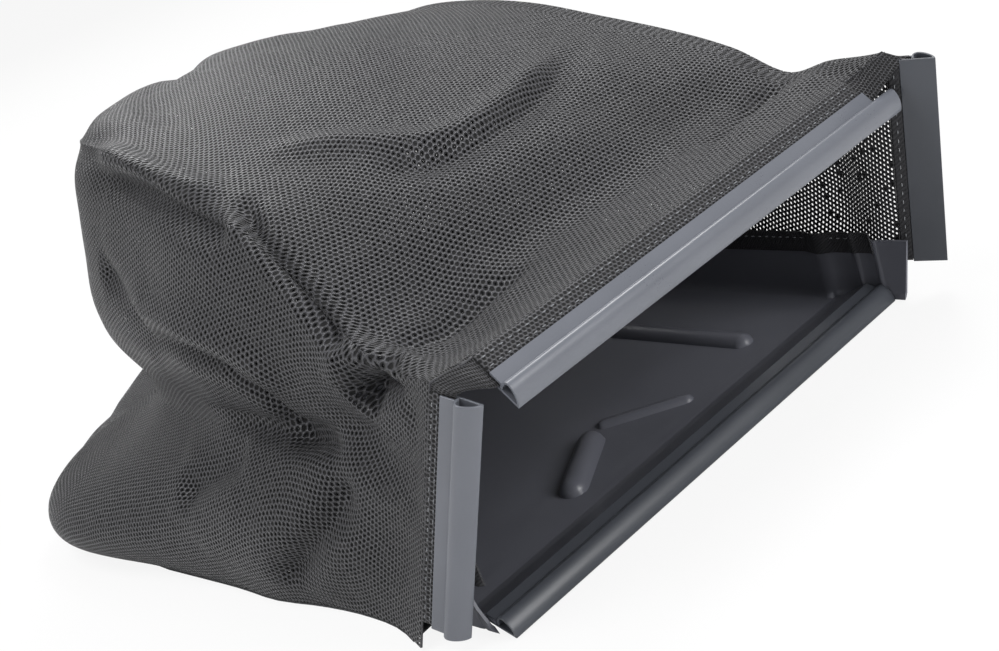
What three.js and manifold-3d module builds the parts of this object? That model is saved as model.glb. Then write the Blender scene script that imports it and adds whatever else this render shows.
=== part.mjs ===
// Grass box of a garden machine: a moulded tray, a sewn mesh bag and four clip profiles round the mouth.
// Millimetres, +Z up, +X to the right across the mouth, and the mouth faces -Y.

import * as THREE from 'three';
import { mergeVertices } from 'three/addons/utils/BufferGeometryUtils.js';
import Module from 'manifold-3d';

// Clip profile: flat plate, teardrop bead, and a flange over the plate that grips the hem
const clipWall = 1.4;
const clipPlate = 23;
const beadLength = 15;
const beadRise = 14.5;
const gripGap = 2.6;
const lipGap = 0.5;
const flangeOverhang = 1;
const topClipLength = 372;
const topClipStart = -176;
const topHookOverrun = 17;
const bottomClipLength = 400;
const sideClipLength = 161;

// Where each clip lies: the sharp edge of its plate, and the way its plate runs
const topClipY = -54.6;
const topClipZ = 146.5;
const topClipTilt = 47;
const bottomClipY = -4.2;
const bottomClipZ = 0.6;
const bottomClipTilt = 20;
const leftClipFoot = new THREE.Vector3(-215, 17, 6);
const leftClipHead = new THREE.Vector3(-187, -43, 156);
const leftPlateWay = new THREE.Vector3(-5, 17.8, 8.4);
const rightClipFoot = new THREE.Vector3(226, -37, 22);
const rightClipHead = new THREE.Vector3(213, -78, 172.5);
const rightPlateWay = new THREE.Vector3(-10.6, 19, 4.6);

// Sewn hems and binding tapes
const meshThickness = 1.6;
const footHeight = 2;
const footHemThickness = 1.4;
const footHemStart = 62;
const hemThickness = 1.6;
const hemInset = 7;
const topHemWidth = 14;
const sideHemWidth = 8;
const tapeThickness = 1.2;
const seatGap = 0.3;
const seamGap = 0.5;
const trayTapeStart = 3;
const trayTapeLow = 37;
const trayTapeHigh = 53;

// Tray
const trayHalfWidth = 206;
const trayBack = 515;
const trayWall = 2;
const trayHeight = 46;
const trayDraft = 3;
const trayFillet = 6;
const trayCornerRadius = 62;
const leftFront = 9;
const leftFrontLean = -20;
const rightFront = -12;
const rightFrontLean = 12;
const planFront = -60;
const rampFoot = 46;
const flutes = [
  { y: 4, width: 7, depth: 1.6 },
  { y: 21, width: 7, depth: 1.6 },
  { y: 51, width: 27, depth: 4 },
];
const bosses = [
  { from: [-65, 74], to: [-15, 104], radius: 8.5, height: 9 },
  { from: [8, 112], to: [49, 70], radius: 4, height: 4 },
  { from: [127, 80], to: [127, 205], radius: 7, height: 7 },
];

// Mesh bag: the seams and the lower edges, station by station from behind the mouth to the foot of the back
const leftSeamStations = [
  [-189, 20, 168], [-181, 58, 172], [-175, 104, 212], [-171, 148, 243],
  [-167, 215, 263], [-158, 280, 280], [-146, 342, 291], [-130, 398, 296], [-108, 434, 288],
  [-104, 444, 218], [-118, 438, 140], [-150, 512, 82], [-142, 524, 2],
];
const rightSeamStations = [
  [201, -5, 186], [198, 28, 180], [197, 70, 198], [195, 120, 216],
  [193, 180, 233], [191, 245, 250], [189, 310, 259], [186, 370, 259], [184, 420, 247],
  [186, 455, 205], [190, 466, 140], [182, 513, 80], [142, 523, 2],
];
const leftFootStations = [
  [-219, 84, 2], [-217, 120, 2], [-220, 160, 2], [-227, 205, 2],
  [-227, 250, 2], [-229, 300, 2], [-231, 345, 2], [-232, 390, 2], [-233, 435, 2],
  [-233, 478, 2], [-224, 508, 2], [-196, 521, 2], [-153, 524, 2],
];
const rightFootStations = [
  [211, 30, 2], [211, 66, 2], [211, 105, 2], [212, 150, 2],
  [213, 200, 2], [213, 250, 2], [213, 300, 2], [213, 350, 2], [212, 398, 2],
  [213, 446, 2], [208, 486, 2], [188, 512, 2], [153, 523, 2],
];

// Fullness of the panels
const crownHeight = 22;
const lowerLobe = 18;
const upperLobe = 14;
const sideCrease = 16;
const creaseFrontHeight = 124;
const creaseRearHeight = 96;
const rightBelly = 12;
const rearCrease = 10;

// Drawn-in folds of the panels: ends in (across, along), then width and depth
const leftFolds = [
  { from: [0.95, 0.02], to: [0.78, 0.16], width: 0.1, depth: 12 },
  { from: [0.6, 0.03], to: [0.72, 0.2], width: 0.09, depth: 9 },
  { from: [0.3, 0.1], to: [0.55, 0.3], width: 0.08, depth: 5 },
];
const topFolds = [
  { from: [0.02, 0.06], to: [0.25, 0.17], width: 0.07, depth: 9 },
  { from: [0.95, 0.13], to: [0.55, 0.3], width: 0.06, depth: 6 },
  { from: [0.35, 0.3], to: [0.8, 0.52], width: 0.05, depth: 5 },
  { from: [0.1, 0.5], to: [0.3, 0.62], width: 0.06, depth: 6 },
];

const meshColour = 0x2c2d30;
const clipColour = 0x5d6168;
const trayColour = 0x17181a;
const tapeColour = 0x202124;

const wasm = await Module();
wasm.setup();

// Turns a closed three.js geometry into a solid that can be joined and cut
function toSolid(geometry) {
  const bare = geometry.clone();
  for (const name of Object.keys(bare.attributes)) {
    if (name !== 'position') bare.deleteAttribute(name);
  }
  const merged = mergeVertices(bare.index ? bare.toNonIndexed() : bare, 1e-4);
  return new wasm.Manifold(new wasm.Mesh({
    numProp: 3,
    vertProperties: new Float32Array(merged.attributes.position.array),
    triVerts: new Uint32Array(merged.index.array),
  }));
}

function fromSolid(solid) {
  const mesh = solid.getMesh();
  const geometry = new THREE.BufferGeometry();
  geometry.setAttribute('position', new THREE.BufferAttribute(new Float32Array(mesh.vertProperties), 3));
  geometry.setIndex(new THREE.BufferAttribute(new Uint32Array(mesh.triVerts), 1));
  const flat = geometry.toNonIndexed();
  flat.computeVertexNormals();
  return flat;
}

function geometryOf(points, triangles) {
  const geometry = new THREE.BufferGeometry();
  geometry.setAttribute('position', new THREE.Float32BufferAttribute(points.flatMap((p) => [p.x, p.y, p.z]), 3));
  geometry.setIndex(triangles);
  geometry.computeVertexNormals();
  return geometry;
}

function makeMesh(name, geometry, colour, roughness, metalness = 0) {
  const material = new THREE.MeshStandardMaterial({ color: colour, roughness, metalness });
  const mesh = new THREE.Mesh(geometry, material);
  mesh.name = name;
  return mesh;
}

// Clip section, drawn with the plate along x and the bead above it
function clipSection() {
  const flangeLow = clipWall + gripGap;
  const flangeTop = flangeLow + clipWall;
  const outer = new THREE.CubicBezierCurve(
    new THREE.Vector2(0, 0),
    new THREE.Vector2(0.5, beadRise * 0.42),
    new THREE.Vector2(beadLength - 1, beadRise),
    new THREE.Vector2(beadLength, flangeTop),
  );
  const steps = 12;
  const outerPoints = outer.getPoints(steps);
  const innerPoints = [];
  for (let i = 2; i < steps; i += 1) {
    const tangent = outer.getTangent(i / steps);
    const inward = new THREE.Vector2(tangent.y, -tangent.x);
    innerPoints.push(outerPoints[i].clone().addScaledVector(inward, clipWall));
  }
  const end = clipPlate + flangeOverhang;
  return [
    new THREE.Vector2(0, 0),
    new THREE.Vector2(clipPlate, 0),
    new THREE.Vector2(clipPlate, clipWall),
    new THREE.Vector2(clipWall * 1.6, clipWall),
    ...innerPoints,
    new THREE.Vector2(beadLength - clipWall, clipWall + lipGap),
    new THREE.Vector2(beadLength, clipWall + lipGap),
    new THREE.Vector2(beadLength + 0.4, flangeLow),
    new THREE.Vector2(end, flangeLow),
    new THREE.Vector2(end, flangeTop),
    ...outerPoints.slice(1).reverse(),
  ];
}

// A clip's frame: x runs along the plate, y out of it on the bead's side, z along the clip
function clipFrame(edge, plateWay, alongWay) {
  const z = alongWay.clone().normalize();
  const x = plateWay.clone().addScaledVector(z, -plateWay.dot(z)).normalize();
  const y = new THREE.Vector3().crossVectors(z, x);
  return new THREE.Matrix4().makeBasis(x, y, z).setPosition(edge);
}

function tiltedWay(degrees) {
  const angle = THREE.MathUtils.degToRad(degrees);
  return new THREE.Vector3(0, Math.cos(angle), Math.sin(angle));
}

function centredStart(foot, head, length) {
  const along = head.clone().sub(foot).normalize();
  return foot.clone().add(head).multiplyScalar(0.5).addScaledVector(along, -length / 2);
}

const acrossMouth = new THREE.Vector3(1, 0, 0);
const leftAlong = leftClipHead.clone().sub(leftClipFoot);
const rightAlong = rightClipFoot.clone().sub(rightClipHead);
const clips = {
  top: {
    length: topClipLength,
    frame: clipFrame(new THREE.Vector3(topClipStart, topClipY, topClipZ), tiltedWay(topClipTilt), acrossMouth),
  },
  bottom: {
    length: bottomClipLength,
    frame: clipFrame(
      new THREE.Vector3(-bottomClipLength / 2, bottomClipY, bottomClipZ),
      tiltedWay(bottomClipTilt),
      acrossMouth,
    ),
  },
  left: {
    length: sideClipLength,
    frame: clipFrame(centredStart(leftClipFoot, leftClipHead, sideClipLength), leftPlateWay, leftAlong),
  },
  right: {
    length: sideClipLength,
    frame: clipFrame(centredStart(rightClipHead, rightClipFoot, sideClipLength), rightPlateWay, rightAlong),
  },
};

function extrudeSection(points, length) {
  return new THREE.ExtrudeGeometry(new THREE.Shape(points), { depth: length, bevelEnabled: false, steps: 1 });
}

function rectangle(x0, x1, y0, y1) {
  return [[x0, y0], [x1, y0], [x1, y1], [x0, y1]].map((p) => new THREE.Vector2(...p));
}

// At its far end the top hook runs on past the square-cut plate and flange
function hookOverrun(geometry, length) {
  const cut = new THREE.BoxGeometry(clipPlate, 4 * gripGap, topHookOverrun * 2);
  cut.translate(beadLength + clipPlate / 2 - 0.3, clipWall + gripGap / 2, length);
  return fromSolid(toSolid(geometry).subtract(toSolid(cut)));
}

function makeClip(name, clip, hasOverrun) {
  let geometry = extrudeSection(clipSection(), clip.length);
  if (hasOverrun) geometry = hookOverrun(geometry, clip.length);
  geometry.applyMatrix4(clip.frame);
  return makeMesh(name, geometry, clipColour, 0.42);
}

const hemStart = clipPlate - hemInset;
const hemLow = clipWall + (gripGap - hemThickness) / 2;

// The doubled hem that the clip grips, and the tape sewn on its inner side
function makeHem(name, clip, width, startInset, endInset) {
  const section = rectangle(hemStart, clipPlate + width, hemLow, hemLow + hemThickness);
  const geometry = extrudeSection(section, clip.length - startInset - endInset);
  geometry.translate(0, 0, startInset);
  geometry.applyMatrix4(clip.frame);
  return makeMesh(name, geometry, meshColour, 0.8);
}

function makeMouthTape(name, clip, width, startInset, endInset) {
  const high = hemLow - seatGap;
  const section = rectangle(clipPlate + seatGap, clipPlate + width, high - tapeThickness, high);
  const geometry = extrudeSection(section, clip.length - startInset - endInset);
  geometry.translate(0, 0, startInset);
  geometry.applyMatrix4(clip.frame);
  return makeMesh(name, geometry, tapeColour, 0.7);
}

// Inward step of the tray's side wall at a moulded flute
function fluteDepth(y) {
  let depth = 0;
  for (const flute of flutes) {
    const across = (y - flute.y) / (flute.width / 2);
    if (Math.abs(across) < 1) depth += flute.depth * 0.5 * (1 + Math.cos(Math.PI * across));
  }
  return depth;
}

// Plan outline of the tray, from the right front corner round the back to the left front corner
function trayPlan(inset) {
  const sideEnd = trayBack - trayCornerRadius;
  const ys = [planFront, rightFront - 8];
  for (const flute of flutes) {
    for (const f of [-1, -0.55, 0, 0.55, 1]) ys.push(flute.y + f * flute.width / 2);
  }
  ys.push(120, 200, 290, 380, sideEnd);
  ys.sort((a, b) => a - b);
  const right = ys.map((y) => new THREE.Vector2(trayHalfWidth - fluteDepth(y) - inset, y));
  const radius = trayCornerRadius - inset;
  for (let i = 1; i <= 8; i += 1) {
    const angle = (Math.PI / 2) * (i / 8);
    right.push(new THREE.Vector2(
      trayHalfWidth - trayCornerRadius + radius * Math.cos(angle),
      sideEnd + radius * Math.sin(angle),
    ));
  }
  const left = right.map((p) => new THREE.Vector2(-p.x, p.y)).reverse();
  return [...right, ...left];
}

// Closed loft through plan outlines given as { inset, z }
function loftPlans(levels) {
  const points = [];
  const triangles = [];
  const count = trayPlan(0).length;
  for (const level of levels) {
    for (const p of trayPlan(level.inset)) points.push(new THREE.Vector3(p.x, p.y, level.z));
  }
  for (let k = 0; k + 1 < levels.length; k += 1) {
    for (let i = 0; i < count; i += 1) {
      const j = (i + 1) % count;
      const a = k * count + i;
      const b = k * count + j;
      triangles.push(a, b, b + count, a, b + count, a + count);
    }
  }
  const plan = trayPlan(0);
  const faces = THREE.ShapeUtils.triangulateShape(plan, []);
  const top = (levels.length - 1) * count;
  for (const [a, b, c] of faces) {
    triangles.push(a, c, b);
    triangles.push(top + a, top + b, top + c);
  }
  return geometryOf(points, triangles);
}

function wallInset(z) {
  return trayDraft * (1 - z / trayHeight);
}

function trayTub() {
  const f = trayFillet;
  const outer = loftPlans([
    { inset: wallInset(0) + f, z: 0 },
    { inset: wallInset(0) + f * 0.5, z: f * 0.13 },
    { inset: wallInset(0) + f * 0.13, z: f * 0.5 },
    { inset: wallInset(f), z: f },
    { inset: wallInset(trayHeight), z: trayHeight },
  ]);
  const w = trayWall;
  const inner = loftPlans([
    { inset: wallInset(0) + f + w * 0.4, z: w },
    { inset: wallInset(0) + f * 0.5 + w * 0.8, z: w + f * 0.15 },
    { inset: wallInset(0) + f * 0.13 + w, z: w + f * 0.55 },
    { inset: wallInset(f) + w, z: w + f },
    { inset: wallInset(trayHeight + 10) + w, z: trayHeight + 10 },
  ]);
  return toSolid(outer).subtract(toSolid(inner));
}

function box(x0, x1, y0, y1, z0, z1) {
  const geometry = new THREE.BoxGeometry(x1 - x0, y1 - y0, z1 - z0);
  geometry.translate((x0 + x1) / 2, (y0 + y1) / 2, (z0 + z1) / 2);
  return geometry;
}

// The front lip: out of the bottom clip's grip, over its plate's edge and down a ramp to the floor
function rampSolid(halfWidth) {
  const way = tiltedWay(bottomClipTilt);
  const out = new THREE.Vector3(0, -way.z, way.y);
  const edge = new THREE.Vector3(0, bottomClipY, bottomClipZ);
  const at = (s, t) => {
    const p = edge.clone().addScaledVector(way, s).addScaledVector(out, t);
    return new THREE.Vector2(p.y, p.z);
  };
  const low = clipWall + (gripGap - trayWall) / 2;
  const high = low + trayWall;
  const over = clipPlate + 2;
  const profile = [
    at(hemStart, low),
    at(over, low),
    new THREE.Vector2(rampFoot - 8, 1.6),
    new THREE.Vector2(rampFoot, 0),
    new THREE.Vector2(rampFoot + 4, 0),
    new THREE.Vector2(rampFoot + 4, trayWall),
    new THREE.Vector2(rampFoot, trayWall + 0.2),
    new THREE.Vector2(rampFoot - 8, trayWall + 2.2),
    at(over, high),
    at(hemStart, high),
  ];
  const geometry = extrudeSection(profile, 2 * halfWidth);
  geometry.rotateX(Math.PI / 2);
  geometry.rotateZ(Math.PI / 2);
  geometry.translate(-halfWidth, 0, 0);
  return toSolid(geometry);
}

// A round-ended boss standing on the floor, as a lathe-turned capsule laid along its line
function capsule(from, to, radius, height, floorZ) {
  const start = new THREE.Vector3(from[0], from[1], 0);
  const end = new THREE.Vector3(to[0], to[1], 0);
  const length = start.distanceTo(end);
  const profile = [];
  for (let i = 0; i <= 4; i += 1) {
    const angle = (Math.PI / 2) * (i / 4);
    profile.push(new THREE.Vector2(radius * Math.sin(angle), -radius * Math.cos(angle)));
  }
  for (let i = 0; i <= 4; i += 1) {
    const angle = (Math.PI / 2) * (i / 4);
    profile.push(new THREE.Vector2(radius * Math.cos(angle), length + radius * Math.sin(angle)));
  }
  profile[0].x = 0;
  profile[profile.length - 1].x = 0;
  const geometry = new THREE.LatheGeometry(profile, 14);
  const along = end.clone().sub(start).normalize();
  geometry.applyQuaternion(new THREE.Quaternion().setFromUnitVectors(new THREE.Vector3(0, 1, 0), along));
  geometry.scale(1, 1, height / radius);
  geometry.translate(start.x, start.y, floorZ);
  return toSolid(geometry);
}

// Cuts a side wall off along its front edge, which leans forward by so much over the tray's height
function frontCutter(x0, x1, front, lean) {
  const geometry = box(x0, x1, -120, 0, -100, 100);
  geometry.rotateX(Math.atan2(lean, trayHeight));
  geometry.translate(0, front, 0);
  return toSolid(geometry);
}

function makeTray() {
  let solid = trayTub();
  const innerHalf = trayHalfWidth - trayDraft - trayWall;
  const floorCut = box(-innerHalf + 3, innerHalf - 3, planFront, rampFoot + 1, -5, 30);
  solid = solid.subtract(toSolid(floorCut));
  const clipHalf = bottomClipLength / 2 + seamGap;
  solid = solid.subtract(toSolid(box(-clipHalf, clipHalf, planFront, rampFoot / 2, -5, 17)));
  solid = solid.subtract(frontCutter(-2 * trayHalfWidth, 0, leftFront, leftFrontLean));
  solid = solid.subtract(frontCutter(0, 2 * trayHalfWidth, rightFront, rightFrontLean));
  solid = solid.add(rampSolid(innerHalf - 1));
  for (const boss of bosses) {
    const cover = capsule(boss.from, boss.to, boss.radius + trayWall, boss.height + trayWall, 0.2);
    const hollow = capsule(boss.from, boss.to, boss.radius, boss.height, 0);
    const below = toSolid(box(-trayHalfWidth, trayHalfWidth, 0, trayBack, -trayHeight, 0));
    solid = solid.add(cover.subtract(below)).subtract(hollow);
  }
  return makeMesh('tray', fromSolid(solid), trayColour, 0.35);
}

// Tape round the inside of the tray's rim
function makeTrayTape() {
  const near = wallInset(trayTapeLow) + trayWall + seatGap;
  const far = near + tapeThickness;
  const outer = trayPlan(near).filter((p) => p.y > trayTapeStart);
  const inner = trayPlan(far).filter((p) => p.y > trayTapeStart);
  const shape = new THREE.Shape([...outer, ...inner.reverse()]);
  const geometry = new THREE.ExtrudeGeometry(shape, { depth: trayTapeHigh - trayTapeLow, bevelEnabled: false });
  geometry.translate(0, 0, trayTapeLow);
  return makeMesh('tray_tape', geometry, tapeColour, 0.7);
}

// A point given in a clip's frame, carried into the model
function clipPoint(clip, along, across, out) {
  return new THREE.Vector3(across, out, along).applyMatrix4(clip.frame);
}

// Where the panels start: just past the outer edges of the hems
const edgeOut = hemLow + hemThickness;
const sideEdge = clipPlate + sideHemWidth + seamGap;
const topEdge = clipPlate + topHemWidth + seamGap;

// The foot of a side hem's edge line, followed along the clip down to a height
function edgeFoot(clip, height) {
  const start = clipPoint(clip, 0, sideEdge, edgeOut);
  const way = clipPoint(clip, 1, sideEdge, edgeOut).sub(start);
  return start.addScaledVector(way, (height - start.z) / way.z);
}

const leftStart = clipPoint(clips.left, sideClipLength + 5, sideEdge, edgeOut);
const leftStartFoot = edgeFoot(clips.left, footHeight);
const rightStart = clipPoint(clips.right, -5, sideEdge, edgeOut);
const rightStartFoot = edgeFoot(clips.right, footHeight);

const vectorsOf = (stations) => stations.map((p) => new THREE.Vector3(...p));
const curveOf = (start, stations) => new THREE.CatmullRomCurve3([start, ...vectorsOf(stations)]);
const seams = {
  left: curveOf(leftStart, leftSeamStations),
  right: curveOf(rightStart, rightSeamStations),
};
const feet = {
  left: curveOf(leftStartFoot, leftFootStations),
  right: curveOf(rightStartFoot, rightFootStations),
};

// The lower edge of the panels is turned under and sewn to the tray's foot all round
function makeFootHem() {
  const count = 36;
  const edge = [];
  for (let i = 0; i <= count; i += 1) edge.push(feet.left.getPoint(i / count));
  for (let i = count; i >= 0; i -= 1) edge.push(feet.right.getPoint(i / count));
  const outer = edge.filter((p) => p.y > footHemStart).map((p) => new THREE.Vector2(p.x, p.y));
  const touch = wallInset(0) + trayFillet * 0.33 - seatGap;
  const inner = trayPlan(touch).filter((p) => p.y > footHemStart);
  const shape = new THREE.Shape([...outer, ...inner]);
  const geometry = new THREE.ExtrudeGeometry(shape, { depth: footHemThickness, bevelEnabled: false, steps: 1 });
  geometry.translate(0, 0, footHeight - seatGap - footHemThickness);
  return makeMesh('foot_hem', geometry, meshColour, 0.8);
}

// The strip's mouth edge follows the top hem, and turns up or down to the seams at its ends
function mouthShift(u) {
  const line = leftStart.clone().lerp(rightStart, u);
  const hem = clipPoint(clips.top, 0, topEdge, edgeOut).setX(line.x);
  const weight = smooth(u, 0, 0.07) * (1 - smooth(u, 0.92, 1));
  return hem.sub(line).multiplyScalar(weight);
}

function hump(x, centre, width) {
  const d = (x - centre) / width;
  return Math.exp(-d * d);
}

function smooth(x, from, to) {
  return THREE.MathUtils.smoothstep(x, from, to);
}

function foldDepth(folds, across, along) {
  let depth = 0;
  for (const fold of folds) {
    const [u0, v0] = fold.from;
    const du = fold.to[0] - u0;
    const dv = fold.to[1] - v0;
    const t = THREE.MathUtils.clamp(((across - u0) * du + (along - v0) * dv) / (du * du + dv * dv), 0, 1);
    const far = Math.hypot(across - u0 - du * t, along - v0 - dv * t);
    depth += fold.depth * hump(far, 0, fold.width) * (0.35 + 0.65 * Math.sin(Math.PI * t));
  }
  return depth;
}

// Left side: a lower lobe, a drawn-in crease and an upper lobe between the foot and the seam
function leftPoint(w, v) {
  const foot = feet.left.getPoint(v);
  const seam = seams.left.getPoint(v);
  const tangent = feet.left.getTangent(v);
  const out = new THREE.Vector3(-tangent.y, tangent.x, 0).normalize();
  const grown = smooth(v, 0.02, 0.3);
  const closing = 1 - smooth(v, 0.92, 1);
  const creaseZ = THREE.MathUtils.lerp(creaseFrontHeight, creaseRearHeight, v);
  const line = Math.min(1, creaseZ / seam.z);
  const above = 1 - smooth(line, 0.7, 0.98);
  let depth = lowerLobe * Math.sin(Math.PI * Math.min(1, w / line));
  depth += upperLobe * above * Math.sin(Math.PI * THREE.MathUtils.clamp((w - line) / (1.001 - line), 0, 1));
  depth -= sideCrease * above * smooth(v, 0.05, 0.3) * hump(w, line, 0.13);
  const fold = foldDepth(leftFolds, w, v) * Math.sin(Math.PI * w) * smooth(v, 0, 0.05);
  return foot.lerp(seam, w).addScaledVector(out, depth * grown * closing - fold);
}

function rightPoint(w, v) {
  const foot = feet.right.getPoint(v);
  const seam = seams.right.getPoint(v);
  const tangent = feet.right.getTangent(v);
  const out = new THREE.Vector3(tangent.y, -tangent.x, 0).normalize();
  const closing = smooth(v, 0, 0.12) * (1 - smooth(v, 0.86, 1));
  return foot.lerp(seam, w).addScaledVector(out, rightBelly * Math.sin(Math.PI * w) * closing);
}

// Top and back: one strip between the seams, crowned, and creased across the back
function topPoint(u, v) {
  const from = seams.left.getPoint(v);
  const to = seams.right.getPoint(v);
  const tangent = seams.left.getTangent(v).add(seams.right.getTangent(v)).normalize();
  const across = to.clone().sub(from).normalize();
  const out = new THREE.Vector3().crossVectors(across, tangent).normalize();
  const crown = crownHeight * smooth(v, 0.02, 0.45) * (1 - smooth(v, 0.72, 0.98));
  const skew = Math.sin(Math.PI * u ** 0.8);
  const free = Math.min(1, 8 * u, 8 * (1 - u)) * smooth(v, 0, 0.05);
  const fold = foldDepth(topFolds, u, v) * free;
  const rear = rearCrease * hump(v, 0.85, 0.05) * Math.sin(Math.PI * u);
  const point = from.lerp(to, u).addScaledVector(out, crown * skew - fold - rear);
  return point.addScaledVector(mouthShift(u), 1 - smooth(v, 0, 0.1));
}

// The whole bag as one surface, so that neighbouring panels share their edges and normals
function bagPoint(a, v) {
  if (a < 1) return leftPoint(Math.max(a, 0), v);
  if (a <= 2) return topPoint(a - 1, v);
  return rightPoint(3 - Math.min(a, 3), v);
}

// At the mouth the panels keep the hems' own directions, so that they butt on them squarely
function mouthNormal(a) {
  const outOf = (clip) => new THREE.Vector3().setFromMatrixColumn(clip.frame, 1);
  const left = outOf(clips.left).lerp(outOf(clips.top), smooth(a, 0.93, 1.07));
  return left.lerp(outOf(clips.right), smooth(a, 1.93, 2.07)).normalize();
}

function bagNormal(a, v) {
  if (v === 0) return mouthNormal(a);
  const da = 0.02;
  const dv = 0.004;
  const acrossWay = bagPoint(Math.min(3, a + da), v).sub(bagPoint(Math.max(0, a - da), v));
  const alongWay = bagPoint(a, Math.min(1, v + dv)).sub(bagPoint(a, Math.max(0, v - dv)));
  return new THREE.Vector3().crossVectors(acrossWay, alongWay).normalize();
}

// Thin closed shell over a grid of the bag surface, its thickness on the inner side
function shellOver(as, vs) {
  const points = [];
  const triangles = [];
  const nu = as.length;
  const nv = vs.length;
  for (const side of [0, 1]) {
    for (const v of vs) {
      for (const a of as) {
        const p = bagPoint(a, v);
        if (side) p.addScaledVector(bagNormal(a, v), -meshThickness);
        p.z = Math.max(p.z, footHeight);
        points.push(p);
      }
    }
  }
  const quad = (a, b, c, d) => triangles.push(a, b, c, a, c, d);
  const inner = nu * nv;
  for (let j = 0; j + 1 < nv; j += 1) {
    for (let i = 0; i + 1 < nu; i += 1) {
      const p = j * nu + i;
      quad(p, p + 1, p + nu + 1, p + nu);
      quad(inner + p, inner + p + nu, inner + p + nu + 1, inner + p + 1);
    }
  }
  for (let i = 0; i + 1 < nu; i += 1) {
    const q = (nv - 1) * nu + i;
    quad(i, inner + i, inner + i + 1, i + 1);
    quad(q, q + 1, inner + q + 1, inner + q);
  }
  for (let j = 0; j + 1 < nv; j += 1) {
    const p = j * nu;
    const q = p + nu - 1;
    quad(p, p + nu, inner + p + nu, inner + p);
    quad(q, inner + q, inner + q + nu, q + nu);
  }
  return geometryOf(points, triangles);
}

function spread(from, to, count) {
  return Array.from({ length: count + 1 }, (_, i) => from + (to - from) * (i / count));
}

function makePanels() {
  const vs = spread(0, 1, 38);
  const sideGap = seamGap / 250;
  const topGap = seamGap / 350;
  return [
    makeMesh('left_panel', shellOver(spread(0, 1 - sideGap, 18), vs), meshColour, 0.85),
    makeMesh('top_rear_panel', shellOver(spread(1 + topGap, 2 - topGap, 22), vs), meshColour, 0.85),
    makeMesh('right_panel', shellOver(spread(2 + sideGap, 3, 9), vs), meshColour, 0.85),
  ];
}

const grassBox = new THREE.Group();
grassBox.name = 'grass_box';
grassBox.position.y = -trayBack / 2;
grassBox.add(makeTray());
grassBox.add(makeTrayTape());
grassBox.add(makeClip('top_clip', clips.top, true));
grassBox.add(makeClip('bottom_clip', clips.bottom, false));
grassBox.add(makeClip('left_clip', clips.left, false));
grassBox.add(makeClip('right_clip', clips.right, false));
grassBox.add(makeHem('top_hem', clips.top, topHemWidth, 1, topHookOverrun + 1));
grassBox.add(makeHem('left_hem', clips.left, sideHemWidth, 1, 1));
grassBox.add(makeHem('right_hem', clips.right, sideHemWidth, 1, 1));
grassBox.add(makeMouthTape('top_tape', clips.top, topHemWidth, 1, topHookOverrun + 1));
grassBox.add(makeMouthTape('left_tape', clips.left, sideHemWidth, 1, 1));
grassBox.add(makeMouthTape('right_tape', clips.right, sideHemWidth, 1, 1));
grassBox.add(...makePanels());
grassBox.add(makeFootHem());
grassBox.updateMatrixWorld(true);

export default grassBox;
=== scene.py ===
"""Grass box of a garden machine: a sewn mesh bag on a moulded tray, with clip profiles round its mouth."""

import logging
import math
from dataclasses import dataclass, field
from enum import Enum
from typing import Iterable, Sequence

import bmesh
import bpy
import numpy as np
from mathutils import Matrix, Vector


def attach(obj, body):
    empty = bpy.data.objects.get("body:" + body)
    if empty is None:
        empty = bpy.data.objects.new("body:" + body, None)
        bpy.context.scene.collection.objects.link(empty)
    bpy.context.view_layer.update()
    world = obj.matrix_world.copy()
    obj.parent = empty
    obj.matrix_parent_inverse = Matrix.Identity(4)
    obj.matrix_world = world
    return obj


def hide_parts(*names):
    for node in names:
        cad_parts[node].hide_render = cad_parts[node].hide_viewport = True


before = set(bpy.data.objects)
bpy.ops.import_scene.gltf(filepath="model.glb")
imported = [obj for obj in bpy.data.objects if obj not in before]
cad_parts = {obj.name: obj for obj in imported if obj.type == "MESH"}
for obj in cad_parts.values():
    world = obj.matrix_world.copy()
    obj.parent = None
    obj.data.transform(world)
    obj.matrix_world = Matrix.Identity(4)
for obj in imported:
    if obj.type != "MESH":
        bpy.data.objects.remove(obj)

logging.basicConfig(level=logging.INFO, format="%(message)s")
log = logging.getLogger("grass_box")

MM = 0.001
BACK_SHIFT = -257.5
BODY = "root"
HEM_STITCH = 7.0
TAPE_STITCH = 6.5


class Side(Enum):
    """The three panels of the bag, by where they lie."""

    LEFT = "left"
    TOP = "top"
    RIGHT = "right"


class Slot(str, Enum):
    """The record's material slots."""

    MESH = "mesh_fabric"
    CLIP = "clip_plastic"
    TRAY = "tray_plastic"
    TAPE = "binding_tape"


def smooth(x: np.ndarray, low: float, high: float) -> np.ndarray:
    """Smooth step from 0 at low to 1 at high.

    Args:
        x: Values to map.
        low: Where the step begins.
        high: Where the step ends.

    Returns:
        The eased values.
    """
    t = np.clip((x - low) / (high - low), 0.0, 1.0)
    return t * t * (3.0 - 2.0 * t)


def hump(x: np.ndarray, centre: float, width: float) -> np.ndarray:
    """Bell curve of the given half width.

    Args:
        x: Values to map.
        centre: Where the bell is highest.
        width: Its half width.

    Returns:
        Heights from 0 to 1.
    """
    return np.exp(-(((x - centre) / width) ** 2))


def unit(v: np.ndarray) -> np.ndarray:
    """Vectors scaled to length one along the last axis."""
    return v / np.maximum(np.linalg.norm(v, axis=-1, keepdims=True), 1e-12)


def bezier(q: Sequence[np.ndarray], t: np.ndarray) -> np.ndarray:
    """Points of the cubic curve with the four handles q at the places t, a column from 0 to 1."""
    return (1 - t) ** 3 * q[0] + 3 * (1 - t) ** 2 * t * q[1] + 3 * (1 - t) * t**2 * q[2] + t**3 * q[3]


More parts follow.
